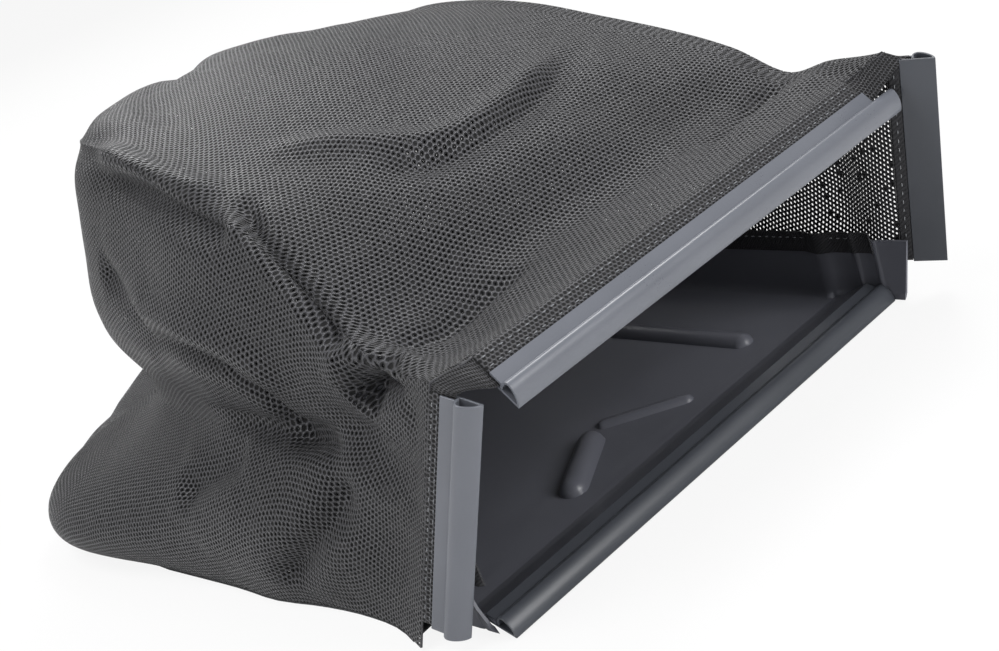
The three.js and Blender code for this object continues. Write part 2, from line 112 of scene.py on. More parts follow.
class StationCurve:
    """Smooth curve through stations, with centripetal spacing."""

    def __init__(self, stations: Sequence[Sequence[float]]) -> None:
        """Keeps the stations, with one more at each end.

        Args:
            stations: Points in millimetres, from the mouth to the foot of the back.
        """
        p = np.array(stations, float)
        self.points = np.vstack([2 * p[0] - p[1], p, 2 * p[-1] - p[-2]])
        self.spans = len(p) - 1

    def at(self, t: np.ndarray) -> np.ndarray:
        """Points of the curve.

        Args:
            t: Places from 0 to 1, spaced evenly by station.

        Returns:
            Points in millimetres.
        """
        t = np.asarray(t, float) * self.spans
        i = np.clip(np.floor(t).astype(int), 0, self.spans - 1)
        f = (t - i)[..., None]
        p0, p1, p2, p3 = (self.points[i + k] for k in range(4))
        d0, d1, d2 = (np.maximum(np.linalg.norm(b - a, axis=-1, keepdims=True), 1e-9) ** 0.5
                      for a, b in ((p0, p1), (p1, p2), (p2, p3)))
        m1 = ((p1 - p0) / d0 - (p2 - p0) / (d0 + d1) + (p2 - p1) / d1) * d1
        m2 = ((p2 - p1) / d1 - (p3 - p1) / (d1 + d2) + (p3 - p2) / d2) * d1
        c2 = -3 * p1 + 3 * p2 - 2 * m1 - m2
        c3 = 2 * p1 - 2 * p2 + m1 + m2
        return p1 + m1 * f + c2 * f**2 + c3 * f**3

    def along(self, t: np.ndarray) -> np.ndarray:
        """Unit tangents at the same places as at."""
        t = np.asarray(t, float)
        return unit(self.at(np.minimum(t + 1e-4, 1.0)) - self.at(np.maximum(t - 1e-4, 0.0)))


@dataclass(frozen=True)
class ClipPlace:
    """Where a clip lies: its plate's sharp edge, the way its plate runs, and the way it runs along."""

    edge: tuple[float, float, float]
    plate_way: tuple[float, float, float]
    along_way: tuple[float, float, float]
    length: float

    def axes(self) -> tuple[np.ndarray, np.ndarray, np.ndarray]:
        """The plate's way, the way out on the bead's side, and the way along."""
        z = unit(np.array(self.along_way, float))
        x = np.array(self.plate_way, float)
        x = unit(x - x.dot(z) * z)
        return x, np.cross(z, x), z

    def point(self, across: np.ndarray, out: np.ndarray, along: np.ndarray) -> np.ndarray:
        """Points of the clip's own frame, carried into the model.

        Args:
            across: Distance from the sharp edge along the plate.
            out: Distance out of the plate on the bead's side.
            along: Distance along the clip.

        Returns:
            Points in millimetres.
        """
        x, y, z = self.axes()
        parts = [np.asarray(v, float)[..., None] * w for v, w in ((across, x), (out, y), (along, z))]
        return np.array(self.edge) + parts[0] + parts[1] + parts[2]


def side_place(foot: Sequence[float], head: Sequence[float], way: Sequence[float], length: float) -> ClipPlace:
    """Place of a side clip that is centred between two points.

    Args:
        foot: Where it starts, before centring.
        head: Where it ends, before centring.
        way: The way its plate runs.
        length: Its length.

    Returns:
        The clip's place.
    """
    a, b = np.array(foot, float), np.array(head, float)
    start = (a + b) / 2 - unit(b - a) * length / 2
    return ClipPlace(tuple(start), tuple(way), tuple(b - a), length)


def tilted(degrees: float) -> tuple[float, float, float]:
    """A way in the plane across the mouth, tilted up from level."""
    return 0.0, math.cos(math.radians(degrees)), math.sin(math.radians(degrees))


CLIPS: dict[str, ClipPlace] = {
    "top": ClipPlace((-176, -54.6, 146.5), tilted(47), (1, 0, 0), 372),
    "bottom": ClipPlace((-200, -4.2, 0.6), tilted(20), (1, 0, 0), 400),
    "left": side_place((-215, 17, 6), (-187, -43, 156), (-5, 17.8, 8.4), 161),
    "right": side_place((213, -78, 172.5), (226, -37, 22), (-10.6, 19, 4.6), 161),
}


@dataclass(frozen=True)
class Fold:
    """A drawn-in fold: its ends in (across, along), its width and its depth in millimetres."""

    start: tuple[float, float]
    end: tuple[float, float]
    width: float
    depth: float


@dataclass(frozen=True)
class Crease:
    """A line that draws the cloth in (height below 0) or lifts it: its stations as (round, along) and half width."""

    stations: tuple[tuple[float, float], ...]
    height: float
    width: float
    taper: float = 0.2


CREASES: dict[str, Crease] = {
    "under_seam": Crease(((1.063, 0.343), (1.012, 0.298), (1.0, 0.243), (0.985, 0.198), (0.96, 0.175)), -9, 7),
    "side_shoulder": Crease(((1.003, 0.317), (0.983, 0.282), (0.96, 0.228), (0.933, 0.195), (0.847, 0.18)), 3, 8),
    "rear_roll": Crease(((0.963, 0.562), (0.997, 0.47), (1.023, 0.405), (1.05, 0.35)), 6, 12),
    "rear_valley": Crease(((0.93, 0.572), (0.95, 0.482), (0.983, 0.405), (0.983, 0.35), (0.983, 0.32)), -10, 11),
    "side_bend": Crease(((0.543, 0.555), (0.637, 0.398), (0.637, 0.342), (0.573, 0.308), (0.477, 0.268),
                         (0.58, 0.183)), -7, 9),
    "side_bend_low": Crease(((0.44, 0.43), (0.453, 0.293), (0.58, 0.183)), -5, 9),
    "lobe_hollow": Crease(((0.383, 0.34), (0.31, 0.397), (0.24, 0.442)), -8, 16),
    "front_valley": Crease(((0.553, 0.172), (0.357, 0.195), (0.193, 0.238), (0.06, 0.283)), -9, 12),
    "corner_pocket": Crease(((0.77, 0.167), (0.927, 0.137), (0.997, 0.082)), -22, 11),
    "corner_roll": Crease(((1.03, 0.03), (1.02, 0.11), (0.97, 0.17), (0.9, 0.19)), 6, 8),
    "rear_corner": Crease(((1.0, 0.5), (1.0, 0.6), (1.0, 0.7), (1.0, 0.86)), -8, 17, 0.25),
    "top_ridge": Crease(((1.147, 0.393), (1.253, 0.343), (1.36, 0.3), (1.453, 0.29), (1.65, 0.315), (1.787, 0.342)),
                        5, 13),
    "top_valley": Crease(((1.197, 0.293), (1.353, 0.272), (1.44, 0.27), (1.553, 0.28), (1.66, 0.3), (1.893, 0.353)),
                         -6, 12),
    "mouth_dip": Crease(((1.977, 0.138), (1.903, 0.142), (1.807, 0.123), (1.683, 0.095)), -5, 9),
    "hem_valley": Crease(((1.037, 0.152), (1.08, 0.128), (1.147, 0.13), (1.223, 0.127), (1.313, 0.102)), -6, 10),
    "upper_side": Crease(((0.733, 0.568), (0.687, 0.523), (0.64, 0.457)), -7, 14),
    "side_ridge": Crease(((0.643, 0.57), (0.7, 0.425), (0.717, 0.32), (0.643, 0.257)), 5, 13),
    "rear_hang": Crease(((1.3, 0.6), (1.36, 0.72), (1.3, 0.82)), -6, 16),
    "rear_hang_right": Crease(((1.72, 0.58), (1.66, 0.7), (1.74, 0.84)), -6, 18),
    "right_slack": Crease(((2.3, 0.2), (2.42, 0.38), (2.36, 0.6)), -6, 20),
}


@dataclass
class BagShape:
    """The bag as one surface: left side for a below 1, top and back from 1 to 2, right side above 2."""

    mesh_thickness: float = 1.6
    foot_height: float = 2.0
    clip_plate: float = 23.0
    clip_wall: float = 1.4
    grip_gap: float = 2.6
    top_hem_width: float = 14.0
    side_hem_width: float = 8.0
    seam_gap: float = 0.5
    crown: float = 20.0
    lower_lobe: tuple[float, float] = (18.0, 42.0)
    upper_lobe: tuple[float, float] = (14.0, -4.0)
    side_crease: tuple[float, float] = (16.0, 54.0)
    crease_widths: tuple[float, float] = (0.09, 0.17)
    crease_heights: tuple[float, float] = (124.0, 85.0)
    lobe_droop: float = 0.78
    corner_turn: float = 0.04
    right_belly: float = 12.0
    rear_crease: float = 10.0
    lobe_rise: tuple[float, float] = (0.35, 0.75)
    crease_ease: float = 0.8
    crease_end: tuple[float, float] = (0.7, 0.98)
    rear_fade: tuple[float, float] = (0.85, 0.99)
    left_folds: tuple[Fold, ...] = (
        Fold((0.95, 0.02), (0.78, 0.16), 0.1, 12),
        Fold((0.6, 0.03), (0.72, 0.2), 0.09, 9),
        Fold((0.3, 0.1), (0.55, 0.3), 0.08, 5),
    )
    top_folds: tuple[Fold, ...] = (
        Fold((0.02, 0.06), (0.25, 0.17), 0.07, 9),
        Fold((0.95, 0.13), (0.55, 0.3), 0.06, 6),
        Fold((0.35, 0.3), (0.8, 0.52), 0.05, 5),
        Fold((0.1, 0.5), (0.3, 0.62), 0.06, 6),
    )
    left_seam: tuple = (
        (-189, 20, 168), (-181, 58, 172), (-175, 104, 212), (-171, 148, 243),
        (-167, 215, 263), (-152, 280, 279), (-140, 342, 289), (-128, 398, 291), (-108, 434, 282),
        (-100, 440, 218), (-95, 424, 142), (-96, 510, 80), (-142, 524, 2),
    )
    right_seam: tuple = (
        (201, -5, 181), (198, 28, 176), (197, 70, 197), (195, 120, 215),
        (193, 180, 232), (191, 245, 249), (189, 310, 258), (186, 370, 259), (184, 420, 247),
        (186, 455, 205), (190, 466, 140), (182, 513, 80), (142, 523, 2),
    )
    left_foot: tuple = (
        (-219, 84, 2), (-217, 120, 2), (-220, 160, 2), (-227, 205, 2),
        (-227, 250, 2), (-229, 300, 2), (-231, 345, 2), (-232, 390, 2), (-228, 432, 2),
        (-216, 474, 2), (-203, 501, 2), (-186, 517, 2), (-151, 524, 2),
    )
    right_foot: tuple = (
        (211, 30, 2), (211, 66, 2), (211, 105, 2), (212, 150, 2),
        (213, 200, 2), (213, 250, 2), (213, 300, 2), (213, 350, 2), (212, 398, 2),
        (213, 446, 2), (208, 486, 2), (188, 512, 2), (153, 523, 2),
    )
    curves: dict[str, StationCurve] = field(default_factory=dict)

    def __post_init__(self) -> None:
        """Finds the ends of the mouth's edges and draws the seams and feet through the stations."""
        self.hem_low = self.clip_wall + (self.grip_gap - self.mesh_thickness) / 2
        out = self.hem_low + self.mesh_thickness
        side = self.clip_plate + self.side_hem_width + self.seam_gap
        self.edge_out = out
        self.top_edge = self.clip_plate + self.top_hem_width + self.seam_gap
        self.left_start = CLIPS["left"].point(side, out, CLIPS["left"].length + 5)
        self.right_start = CLIPS["right"].point(side, out, -5)
        starts = {
            "left_seam": self.left_start,
            "right_seam": self.right_start,
            "left_foot": self._edge_foot(CLIPS["left"], side, out),
            "right_foot": self._edge_foot(CLIPS["right"], side, out),
        }
        for name, start in starts.items():
            self.curves[name] = StationCurve([start, *getattr(self, name)])

    def _edge_foot(self, clip: ClipPlace, across: float, out: float) -> np.ndarray:
        """Foot of a side hem's edge line, followed down to the foot's height."""
        start, step = clip.point(across, out, 0), clip.point(across, out, 1)
        way = step - start
        return start + way * (self.foot_height - start[2]) / way[2]

    @staticmethod
    def _fold_depth(folds: Iterable[Fold], across: np.ndarray, along: np.ndarray) -> np.ndarray:
        """How far the named folds draw the cloth in.

        Args:
            folds: The panel's folds.
            across: Places across the panel, 0 to 1.
            along: Places along the panel, 0 to 1.

        Returns:
            Depths in millimetres.
        """
        depth = np.zeros(np.broadcast(across, along).shape)
        for fold in folds:
            (u0, v0), (u1, v1) = fold.start, fold.end
            du, dv = u1 - u0, v1 - v0
            t = np.clip(((across - u0) * du + (along - v0) * dv) / (du * du + dv * dv), 0, 1)
            far = np.hypot(across - u0 - du * t, along - v0 - dv * t)
            depth += fold.depth * hump(far, 0.0, fold.width) * (0.35 + 0.65 * np.sin(math.pi * t))
        return depth

    def left_point(self, w: np.ndarray, v: np.ndarray) -> np.ndarray:
        """Points of the left side, from its foot (w 0) to the seam (w 1)."""
        foot, seam = self.curves["left_foot"].at(v), self.curves["left_seam"].at(v)
        way = self.curves["left_foot"].along(v)
        out = unit(np.stack([-way[..., 1], way[..., 0], np.zeros_like(v)], -1))
        to_rear = smooth(v, *self.lobe_rise)
        lobe, upper, crease = (low + (high - low) * to_rear
                               for low, high in (self.lower_lobe, self.upper_lobe, self.side_crease))
        front_z, rear_z = self.crease_heights
        crease_z = front_z + (rear_z - front_z) * smooth(v, 0, self.crease_ease)
        line = np.minimum(1.0, crease_z / seam[..., 2])
        above = 1 - smooth(line, *self.crease_end)
        width = np.where(w < line, *self.crease_widths)
        depth = lobe * np.sin(math.pi * np.minimum(1.0, w / line) ** (1 + (self.lobe_droop - 1) * to_rear))
        depth += upper * above * np.sin(math.pi * np.clip((w - line) / (1.001 - line), 0, 1))
        depth -= crease * above * smooth(v, 0.05, 0.3) * np.exp(-(((w - line) / width) ** 2))
        fold = self._fold_depth(self.left_folds, w, v) * np.sin(math.pi * w) * smooth(v, 0, 0.05)
        free = smooth(v, 0.02, 0.3) * (1 - smooth(v, *self.rear_fade))
        return foot + (seam - foot) * w[..., None] + out * (depth * free - fold)[..., None]

    def right_point(self, w: np.ndarray, v: np.ndarray) -> np.ndarray:
        """Points of the right side, from its foot (w 0) to the seam (w 1)."""
        foot, seam = self.curves["right_foot"].at(v), self.curves["right_seam"].at(v)
        way = self.curves["right_foot"].along(v)
        out = unit(np.stack([way[..., 1], -way[..., 0], np.zeros_like(v)], -1))
        free = smooth(v, 0, 0.12) * (1 - smooth(v, 0.86, 1))
        return foot + (seam - foot) * w[..., None] + out * (self.right_belly * np.sin(math.pi * w) * free)[..., None]

    def top_point(self, u: np.ndarray, v: np.ndarray) -> np.ndarray:
        """Points of the strip over the top and down the back, from the left seam to the right one."""
        start, end = self.curves["left_seam"].at(v), self.curves["right_seam"].at(v)
        tangent = unit(self.curves["left_seam"].along(v) + self.curves["right_seam"].along(v))
        out = unit(np.cross(unit(end - start), tangent))
        crown = self.crown * smooth(v, 0.02, 0.45) * (1 - smooth(v, 0.72, 0.98))
        fold = self._fold_depth(self.top_folds, u, v)
        fold = fold * np.minimum(1.0, np.minimum(8 * u, 8 * (1 - u))) * smooth(v, 0, 0.05)
        rear = self.rear_crease * hump(v, 0.85, 0.05) * np.sin(math.pi * u)
        height = crown * np.sin(math.pi * u**0.8) - fold - rear
        point = start + (end - start) * u[..., None] + out * height[..., None]
        return point + self._mouth_shift(u) * (1 - smooth(v, 0, 0.1))[..., None]

    def _mouth_shift(self, u: np.ndarray) -> np.ndarray:
        """Shift that lays the strip's mouth edge along the top hem."""
        line = self.left_start + (self.right_start - self.left_start) * u[..., None]
        hem = np.broadcast_to(CLIPS["top"].point(self.top_edge, self.edge_out, 0), line.shape).copy()
        hem[..., 0] = line[..., 0]
        weight = smooth(u, 0, self.corner_turn) * (1 - smooth(u, 1 - self.corner_turn, 1))
        return (hem - line) * weight[..., None]

    def point(self, a: np.ndarray, v: np.ndarray) -> np.ndarray:
        """Points of the whole bag.

        Args:
            a: Places round the bag, 0 to 3.
            v: Places along it, from the mouth (0) to the foot of the back (1).

        Returns:
            Points in millimetres.
        """
        a, v = np.broadcast_arrays(np.asarray(a, float), np.asarray(v, float))
        left = self.left_point(np.clip(a, 0, 1), v)
        top = self.top_point(np.clip(a - 1, 0, 1), v)
        right = self.right_point(np.clip(3 - a, 0, 1), v)
        return np.where((a < 1)[..., None], left, np.where((a <= 2)[..., None], top, right))

    def normal(self, a: np.ndarray, v: np.ndarray) -> np.ndarray:
        """Unit normals out of the bag at the same places as point."""
        across = self.point(np.minimum(3, a + 0.02), v) - self.point(np.maximum(0, a - 0.02), v)
        along = self.point(a, np.minimum(1, v + 0.004)) - self.point(a, np.maximum(0, v - 0.004))
        return unit(np.cross(across, along))


class CreaseField:
    """How far the creases move the cloth, by each point's distance from their lines in space."""

    def __init__(self, shape: BagShape, creases: Iterable[Crease], steps: int = 30) -> None:
        """Lays each crease's line on the bag.

        Args:
            shape: The bag's shape.
            creases: The lines.
            steps: Points that each line is drawn with.
        """
        self.lines: list[tuple[np.ndarray, Crease]] = []
        for crease in creases:
            places = StationCurve(crease.stations).at(np.linspace(0, 1, steps))
            self.lines.append((shape.point(places[:, 0], places[:, 1]), crease))

    @staticmethod
    def _nearest(line: np.ndarray, points: np.ndarray) -> tuple[np.ndarray, np.ndarray]:
        """Distance of points from a line.

        Args:
            line: The line's points.
            points: Points in millimetres.

        Returns:
            Distances, and places along the line from 0 to 1.
        """
        best, place = np.full(len(points), np.inf), np.zeros(len(points))
        for i, (start, end) in enumerate(zip(line[:-1], line[1:])):
            way = end - start
            t = np.clip(((points - start) @ way) / max(way @ way, 1e-9), 0, 1)
            far = np.linalg.norm(points - start - way * t[:, None], axis=1)
            near = far < best
            best[near], place[near] = far[near], (i + t[near]) / (len(line) - 1)
        return best, place

    def height(self, points: np.ndarray) -> np.ndarray:
        """Heights out of the cloth at the given points, in millimetres."""
        total = np.zeros(len(points))
        for line, crease in self.lines:
            reach = 5 * crease.width
            here = np.all((points > line.min(0) - reach) & (points < line.max(0) + reach), axis=1)
            if not here.any():
                continue
            far, place = self._nearest(line, points[here])
            fade = smooth(place, 0, crease.taper) * (1 - smooth(place, 1 - crease.taper, 1))
            sharp = np.exp(-((far / crease.width) ** 1.7))
            wide = np.exp(-((far / (2.6 * crease.width)) ** 2))
            total[here] += crease.height * fade * (sharp - 0.3 * wide) / 0.7
        return total


@dataclass(frozen=True)
class TrayRim:
    """The outline of the tray's rim, which the cloth hangs over."""

    half_width: float = 206.0
    back: float = 515.0
    corner: float = 62.0
    top: float = 53.0
    clear: float = 1.6
    fall: float = 1.5
    most: float = 8.0

    def hang(self, points: np.ndarray) -> np.ndarray:
        """Moves points that would cut the rim to just outside it.

        Args:
            points: Points of the cloth, in millimetres.

        Returns:
            The points, with those near the rim moved out level.
        """
        q = np.stack([np.abs(points[:, 0]), points[:, 1]], 1) - [self.half_width - self.corner, self.back - self.corner]
        turn = np.maximum(q, 0)
        far = np.linalg.norm(turn, axis=1)
        straight = np.eye(2)[np.argmax(q, axis=1)]
        way = np.where(far[:, None] > 0, turn / np.maximum(far, 1e-9)[:, None], straight)
        gap = far + np.minimum(q.max(1), 0) - self.corner
        need = self.clear - self.fall * np.maximum(0, points[:, 2] - self.top)
        push = np.clip(need - gap, 0, self.most) * (1 - smooth(points[:, 2], self.top + 6, self.top + 16))
        moved = points.copy()
        moved[:, 0] += np.sign(points[:, 0]) * way[:, 0] * push
        moved[:, 1] += way[:, 1] * push
        return moved


def placed(points: np.ndarray) -> np.ndarray:
    """Carries points from the source's millimetres to the row's metres."""
    shifted = np.array(points, float)
    shifted[..., 1] += BACK_SHIFT
    return shifted * MM


def add_object(name: str, bm: bmesh.types.BMesh, material: bpy.types.Material,
               smooth_angle: float = 40.0) -> bpy.types.Object:
    """Turns a bmesh into a finished piece of the object.

    Args:
        name: The piece's name.
        bm: Its mesh, in metres, in the row's frame.
        material: Its material.
        smooth_angle: Edges sharper than this, in degrees, stay sharp.

    Returns:
        The new object, riding on the body.
    """
    mesh = bpy.data.meshes.new(name)
    bm.to_mesh(mesh)
    bm.free()
    for polygon in mesh.polygons:
        polygon.use_smooth = True
    mesh.set_sharp_from_angle(angle=math.radians(smooth_angle))
    mesh.materials.append(material)
    obj = bpy.data.objects.new(name, mesh)
    bpy.context.scene.collection.objects.link(obj)
    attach(obj, BODY)
    return obj


def cloth_area(obj: bpy.types.Object) -> float:
    """Area of a sheet's outer face in square metres."""
    return sum(p.area for p in obj.data.polygons)


def cloth_piece(name: str, points: np.ndarray, lengths: np.ndarray, out: np.ndarray, thickness: float,
                material: bpy.types.Material) -> bpy.types.Object:
    """Makes a sheet through a net of points, with the weave's place on its UV map.

    Args:
        name: The piece's name.
        points: Its net, in millimetres: rows of points.
        lengths: Distances across and along the cloth at the same points, in metres.
        out: The way that its outer face looks.
        thickness: Its thickness in millimetres, built inwards.
        material: Its material.

    Returns:
        The sheet.
    """
    rows, columns = points.shape[0] - 1, points.shape[1] - 1
    world = placed(points)
    bm = bmesh.new()
    bmesh.ops.create_grid(bm, x_segments=columns, y_segments=rows, size=0.5, calc_uvs=True)
    layer = bm.loops.layers.uv.verify()
    layer_name = layer.name
    for vert in bm.verts:
        at = round((vert.co.y + 0.5) * rows), round((vert.co.x + 0.5) * columns)
        vert.co = world[at]
        for loop in vert.link_loops:
            loop[layer].uv = lengths[at]
    bmesh.ops.recalc_face_normals(bm, faces=bm.faces)
    obj = add_object(name, bm, material, 60)
    obj.data.uv_layers[layer_name].name = "cloth"
    if sum(p.normal.dot(Vector(out)) * p.area for p in obj.data.polygons) < 0:
        obj.data.flip_normals()
    shell = obj.modifiers.new("thickness", "SOLIDIFY")
    shell.thickness, shell.offset = thickness * MM, -1.0
    return obj


class Nodes:
    """Short way to place and join shader nodes."""

    def __init__(self, tree: bpy.types.NodeTree) -> None:
        """Starts with an empty tree.

        Args:
            tree: The tree to fill.
        """
        self.tree = tree
        tree.nodes.clear()

    def add(self, kind: str, inputs: dict | None = None, **settings: object) -> bpy.types.Node:
        """Adds a node.

        Args:
            kind: The node's type, without its ShaderNode prefix, or a full type name.
            inputs: Values or sockets for its inputs, by name or number.
            **settings: Attributes to set on the node.

        Returns:
            The node.
        """
        full = kind if kind.startswith("Node") else f"ShaderNode{kind}"
        node = self.tree.nodes.new(full)
        for key, value in settings.items():
            setattr(node, key, value)
        for key, value in (inputs or {}).items():
            if isinstance(value, bpy.types.NodeSocket):
                self.tree.links.new(value, node.inputs[key])
            else:
                node.inputs[key].default_value = value
        return node

    def math(self, operation: str, a: object, b: object = 0.0) -> bpy.types.NodeSocket:
        """A Math node's result for two values or sockets."""
        return self.add("Math", {0: a, 1: b}, operation=operation).outputs[0]


def new_group(name: str, inputs: dict[str, object], outputs: dict[str, str]) -> bpy.types.NodeTree:
    """An empty shader node group with named sockets.

    Args:
        name: The group's name.
        inputs: Default values by name; None makes a vector.
        outputs: Socket types by name.

    Returns:
        The group's tree, with no nodes.
    """
    group = bpy.data.node_groups.new(name, "ShaderNodeTree")
    for key, value in inputs.items():
        kind = "NodeSocketVector" if value is None else "NodeSocketFloat"
        socket = group.interface.new_socket(name=key, in_out="INPUT", socket_type=kind)
        if value is not None:
            socket.default_value = value
    for key, kind in outputs.items():
        group.interface.new_socket(name=key, in_out="OUTPUT", socket_type=kind)
    return group


def new_material(name: str) -> tuple[bpy.types.Material, Nodes]:
    """An empty material and the way to fill it with nodes."""
    made = bpy.data.materials.new(name)
    made.use_nodes = True
    return made, Nodes(made.node_tree)


def weave_group() -> bpy.types.NodeTree:
    """Knitted mesh: staggered pits between raised yarns, with some pores open.

    Returns:
        A group that gives Height, Pit and Pore from a cloth vector in metres.
    """
    group = new_group(
        "CoarseMesh",
        {"Cloth": None, "Pitch": 0.0038, "Row": 0.0031, "Open": 0.3, "Core": 0.3},
        {"Height": "NodeSocketFloat", "Pit": "NodeSocketFloat", "Pore": "NodeSocketFloat"},
    )
    n = Nodes(group)
    given = n.add("NodeGroupInput")
    split = n.add("SeparateXYZ", {0: given.outputs["Cloth"]})
    wander = n.add("TexNoise", {"Vector": given.outputs["Cloth"], "Scale": 45.0, "Detail": 1.0})
    sway = n.math("MULTIPLY", n.math("SUBTRACT", wander.outputs["Fac"], 0.5), 0.7)
    rows = n.math("ADD", n.math("DIVIDE", split.outputs["Y"], given.outputs["Row"]), sway)
    row = n.math("FLOOR", rows)
    shift = n.math("MULTIPLY", n.math("MODULO", row, 2.0), 0.5)
    cols = n.math("ADD", n.math("DIVIDE", split.outputs["X"], given.outputs["Pitch"]), shift)
    col = n.math("FLOOR", cols)
    x = n.math("SUBTRACT", n.math("SUBTRACT", cols, col), 0.5)
    y = n.math("SUBTRACT", n.math("SUBTRACT", rows, row), 0.5)
    far = n.math("SQRT", n.math("ADD", n.math("POWER", n.math("MULTIPLY", x, 1.9), 2.0),
                                n.math("POWER", n.math("MULTIPLY", y, 1.75), 2.0)))
    pit = n.add("MapRange", {"Value": far, "From Min": 0.5, "From Max": 0.95, "To Min": 1.0, "To Max": 0.0},
                interpolation_type="SMOOTHSTEP").outputs[0]
    cell = n.add("CombineXYZ", {0: col, 1: row})
    chance = n.add("TexWhiteNoise", {"Vector": cell.outputs[0]}, noise_dimensions="2D").outputs["Value"]
    opened = n.math("LESS_THAN", chance, given.outputs["Open"])
    core = n.math("LESS_THAN", far, given.outputs["Core"])
    strand = n.add("TexNoise", {"Vector": given.outputs["Cloth"], "Scale": 1400.0, "Detail": 1.0})
    height = n.math("ADD", n.math("SUBTRACT", 1.0, pit), n.math("MULTIPLY", strand.outputs["Fac"], 0.35))
    n.add("NodeGroupOutput", {"Height": height, "Pit": pit, "Pore": n.math("MULTIPLY", opened, core)})
    return group


def wear_group() -> bpy.types.NodeTree:
    """Handling marks of moulded plastic: soft blotches and fine scuffs.

    Returns:
        A group that gives Tone, Rough and Height from a place in metres.
    """
    group = new_group(
        "PlasticWear",
        {"Place": None, "Blotch": 14.0, "Scuff": 900.0},
        {"Tone": "NodeSocketFloat", "Rough": "NodeSocketFloat", "Height": "NodeSocketFloat"},
    )
    n = Nodes(group)
    given = n.add("NodeGroupInput")
    blotch = n.add("TexNoise", {"Vector": given.outputs["Place"], "Scale": given.outputs["Blotch"], "Detail": 3.0})
    scuff = n.add("TexNoise", {"Vector": given.outputs["Place"], "Scale": given.outputs["Scuff"], "Detail": 2.0})
    speck = n.math("MULTIPLY", n.math("SUBTRACT", scuff.outputs["Fac"], 0.5), 0.25)
    tone = n.math("ADD", blotch.outputs["Fac"], speck)
    rough = n.math("ADD", n.math("MULTIPLY", blotch.outputs["Fac"], 0.7), n.math("MULTIPLY", scuff.outputs["Fac"], 0.3))
    n.add("NodeGroupOutput", {"Tone": tone, "Rough": rough, "Height": scuff.outputs["Fac"]})
    return group


@dataclass(frozen=True)
class MeshFinish:
    """Coarse black-grey mesh cloth."""

    name: str
    yarn: tuple[float, float, float] = (0.045, 0.045, 0.052)
    # The pit colour is painted shade: near black where the pits between the yarns lie in shade
    pit: tuple[float, float, float] = (0.002, 0.002, 0.0025)
    open_share: float = 0.7
    core: float = 0.38
    pitch: float = 0.0038
    row: float = 0.0031
    roughness: float = 0.36

    def material(self, group: bpy.types.NodeTree) -> bpy.types.Material:
        """Builds the cloth's material on the piece's own UV map, in metres.

        Args:
            group: The woven mesh group.

        Returns:
            The material.
        """
        made, n = new_material(self.name)
        uv = n.add("UVMap", uv_map="cloth")
        weave = n.add("Group", {"Cloth": uv.outputs[0], "Pitch": self.pitch, "Row": self.row,
                                "Open": self.open_share, "Core": self.core}, node_tree=group)
        place = n.add("TexCoord")
        fade = n.add("TexNoise", {"Vector": place.outputs["Object"], "Scale": 9.0, "Detail": 3.0})
        tone = n.add("MapRange", {"Value": fade.outputs["Fac"], "From Min": 0.3, "From Max": 0.7,
                                  "To Min": 0.82, "To Max": 1.15})
        # Yarn colour with painted shade in the pits
        yarn = self._yarn_with_painted_pit_shade(n, weave.outputs["Pit"])
        shade = n.add("MixRGB", {0: 1.0, 1: yarn, 2: tone.outputs[0]}, blend_type="MULTIPLY")
        bump = n.add("Bump", {"Strength": 1.0, "Distance": 0.001, "Height": weave.outputs["Height"]})
        alpha = n.math("SUBTRACT", 1.0, weave.outputs["Pore"])
        rough = n.add("MapRange", {"Value": weave.outputs["Pit"], "To Min": self.roughness, "To Max": 0.95})
        skin = n.add("BsdfPrincipled", {"Base Color": shade.outputs[0], "Roughness": rough.outputs[0],
                                        "Alpha": alpha, "Normal": bump.outputs[0]})
        skin.inputs["Sheen Weight"].default_value = 0.1
        skin.inputs["Sheen Roughness"].default_value = 0.4
        skin.inputs["Specular IOR Level"].default_value = 0.6
        n.add("OutputMaterial", {"Surface": skin.outputs[0]})
        return made

    def _yarn_with_painted_pit_shade(self, n: Nodes, pit: bpy.types.NodeSocket) -> bpy.types.NodeSocket:
        """Yarn colour, with painted shade: near black in the pits between the yarns."""
        return n.add("MixRGB", {0: pit, 1: (*self.yarn, 1), 2: (*self.pit, 1)}).outputs[0]


@dataclass(frozen=True)
class PlasticFinish:
    """Extruded or moulded plastic."""

    name: str
    colour: tuple[float, float, float]
    roughness: float
    spread: float = 0.08
    grain: float = 0.00004
    blotch: float = 14.0
    scuff: float = 900.0
    wave: float = 0.0

    def material(self, group: bpy.types.NodeTree) -> bpy.types.Material:
        """Builds the plastic's material on object coordinates.

        Args:
            group: The handling-mark group.

        Returns:
            The material.
        """
        made, n = new_material(self.name)
        place = n.add("TexCoord")
        wear = n.add("Group", {"Place": place.outputs["Object"], "Blotch": self.blotch, "Scuff": self.scuff},
                     node_tree=group)
        low = tuple(c * 0.86 for c in self.colour)
        high = tuple(min(1.0, c * 1.14) for c in self.colour)
        colour = n.add("MixRGB", {0: wear.outputs["Tone"], 1: (*low, 1), 2: (*high, 1)})
        rough = n.add("MapRange", {"Value": wear.outputs["Rough"], "From Min": 0.3, "From Max": 0.7,
                                   "To Min": self.roughness - self.spread, "To Max": self.roughness + self.spread})
        height = wear.outputs["Height"]
        bump = n.add("Bump", {"Strength": 1.0, "Distance": self.grain, "Height": height})
        normal = bump.outputs[0]
        if self.wave:
            swell = n.add("TexNoise", {"Vector": place.outputs["Object"], "Scale": 11.0, "Detail": 1.0})
            bump2 = n.add("Bump", {"Strength": 1.0, "Distance": self.wave, "Height": swell.outputs["Fac"],
                                   "Normal": normal})
            normal = bump2.outputs[0]
        skin = n.add("BsdfPrincipled", {"Base Color": colour.outputs[0], "Roughness": rough.outputs[0],
                                        "Normal": normal})
        n.add("OutputMaterial", {"Surface": skin.outputs[0]})
        return made


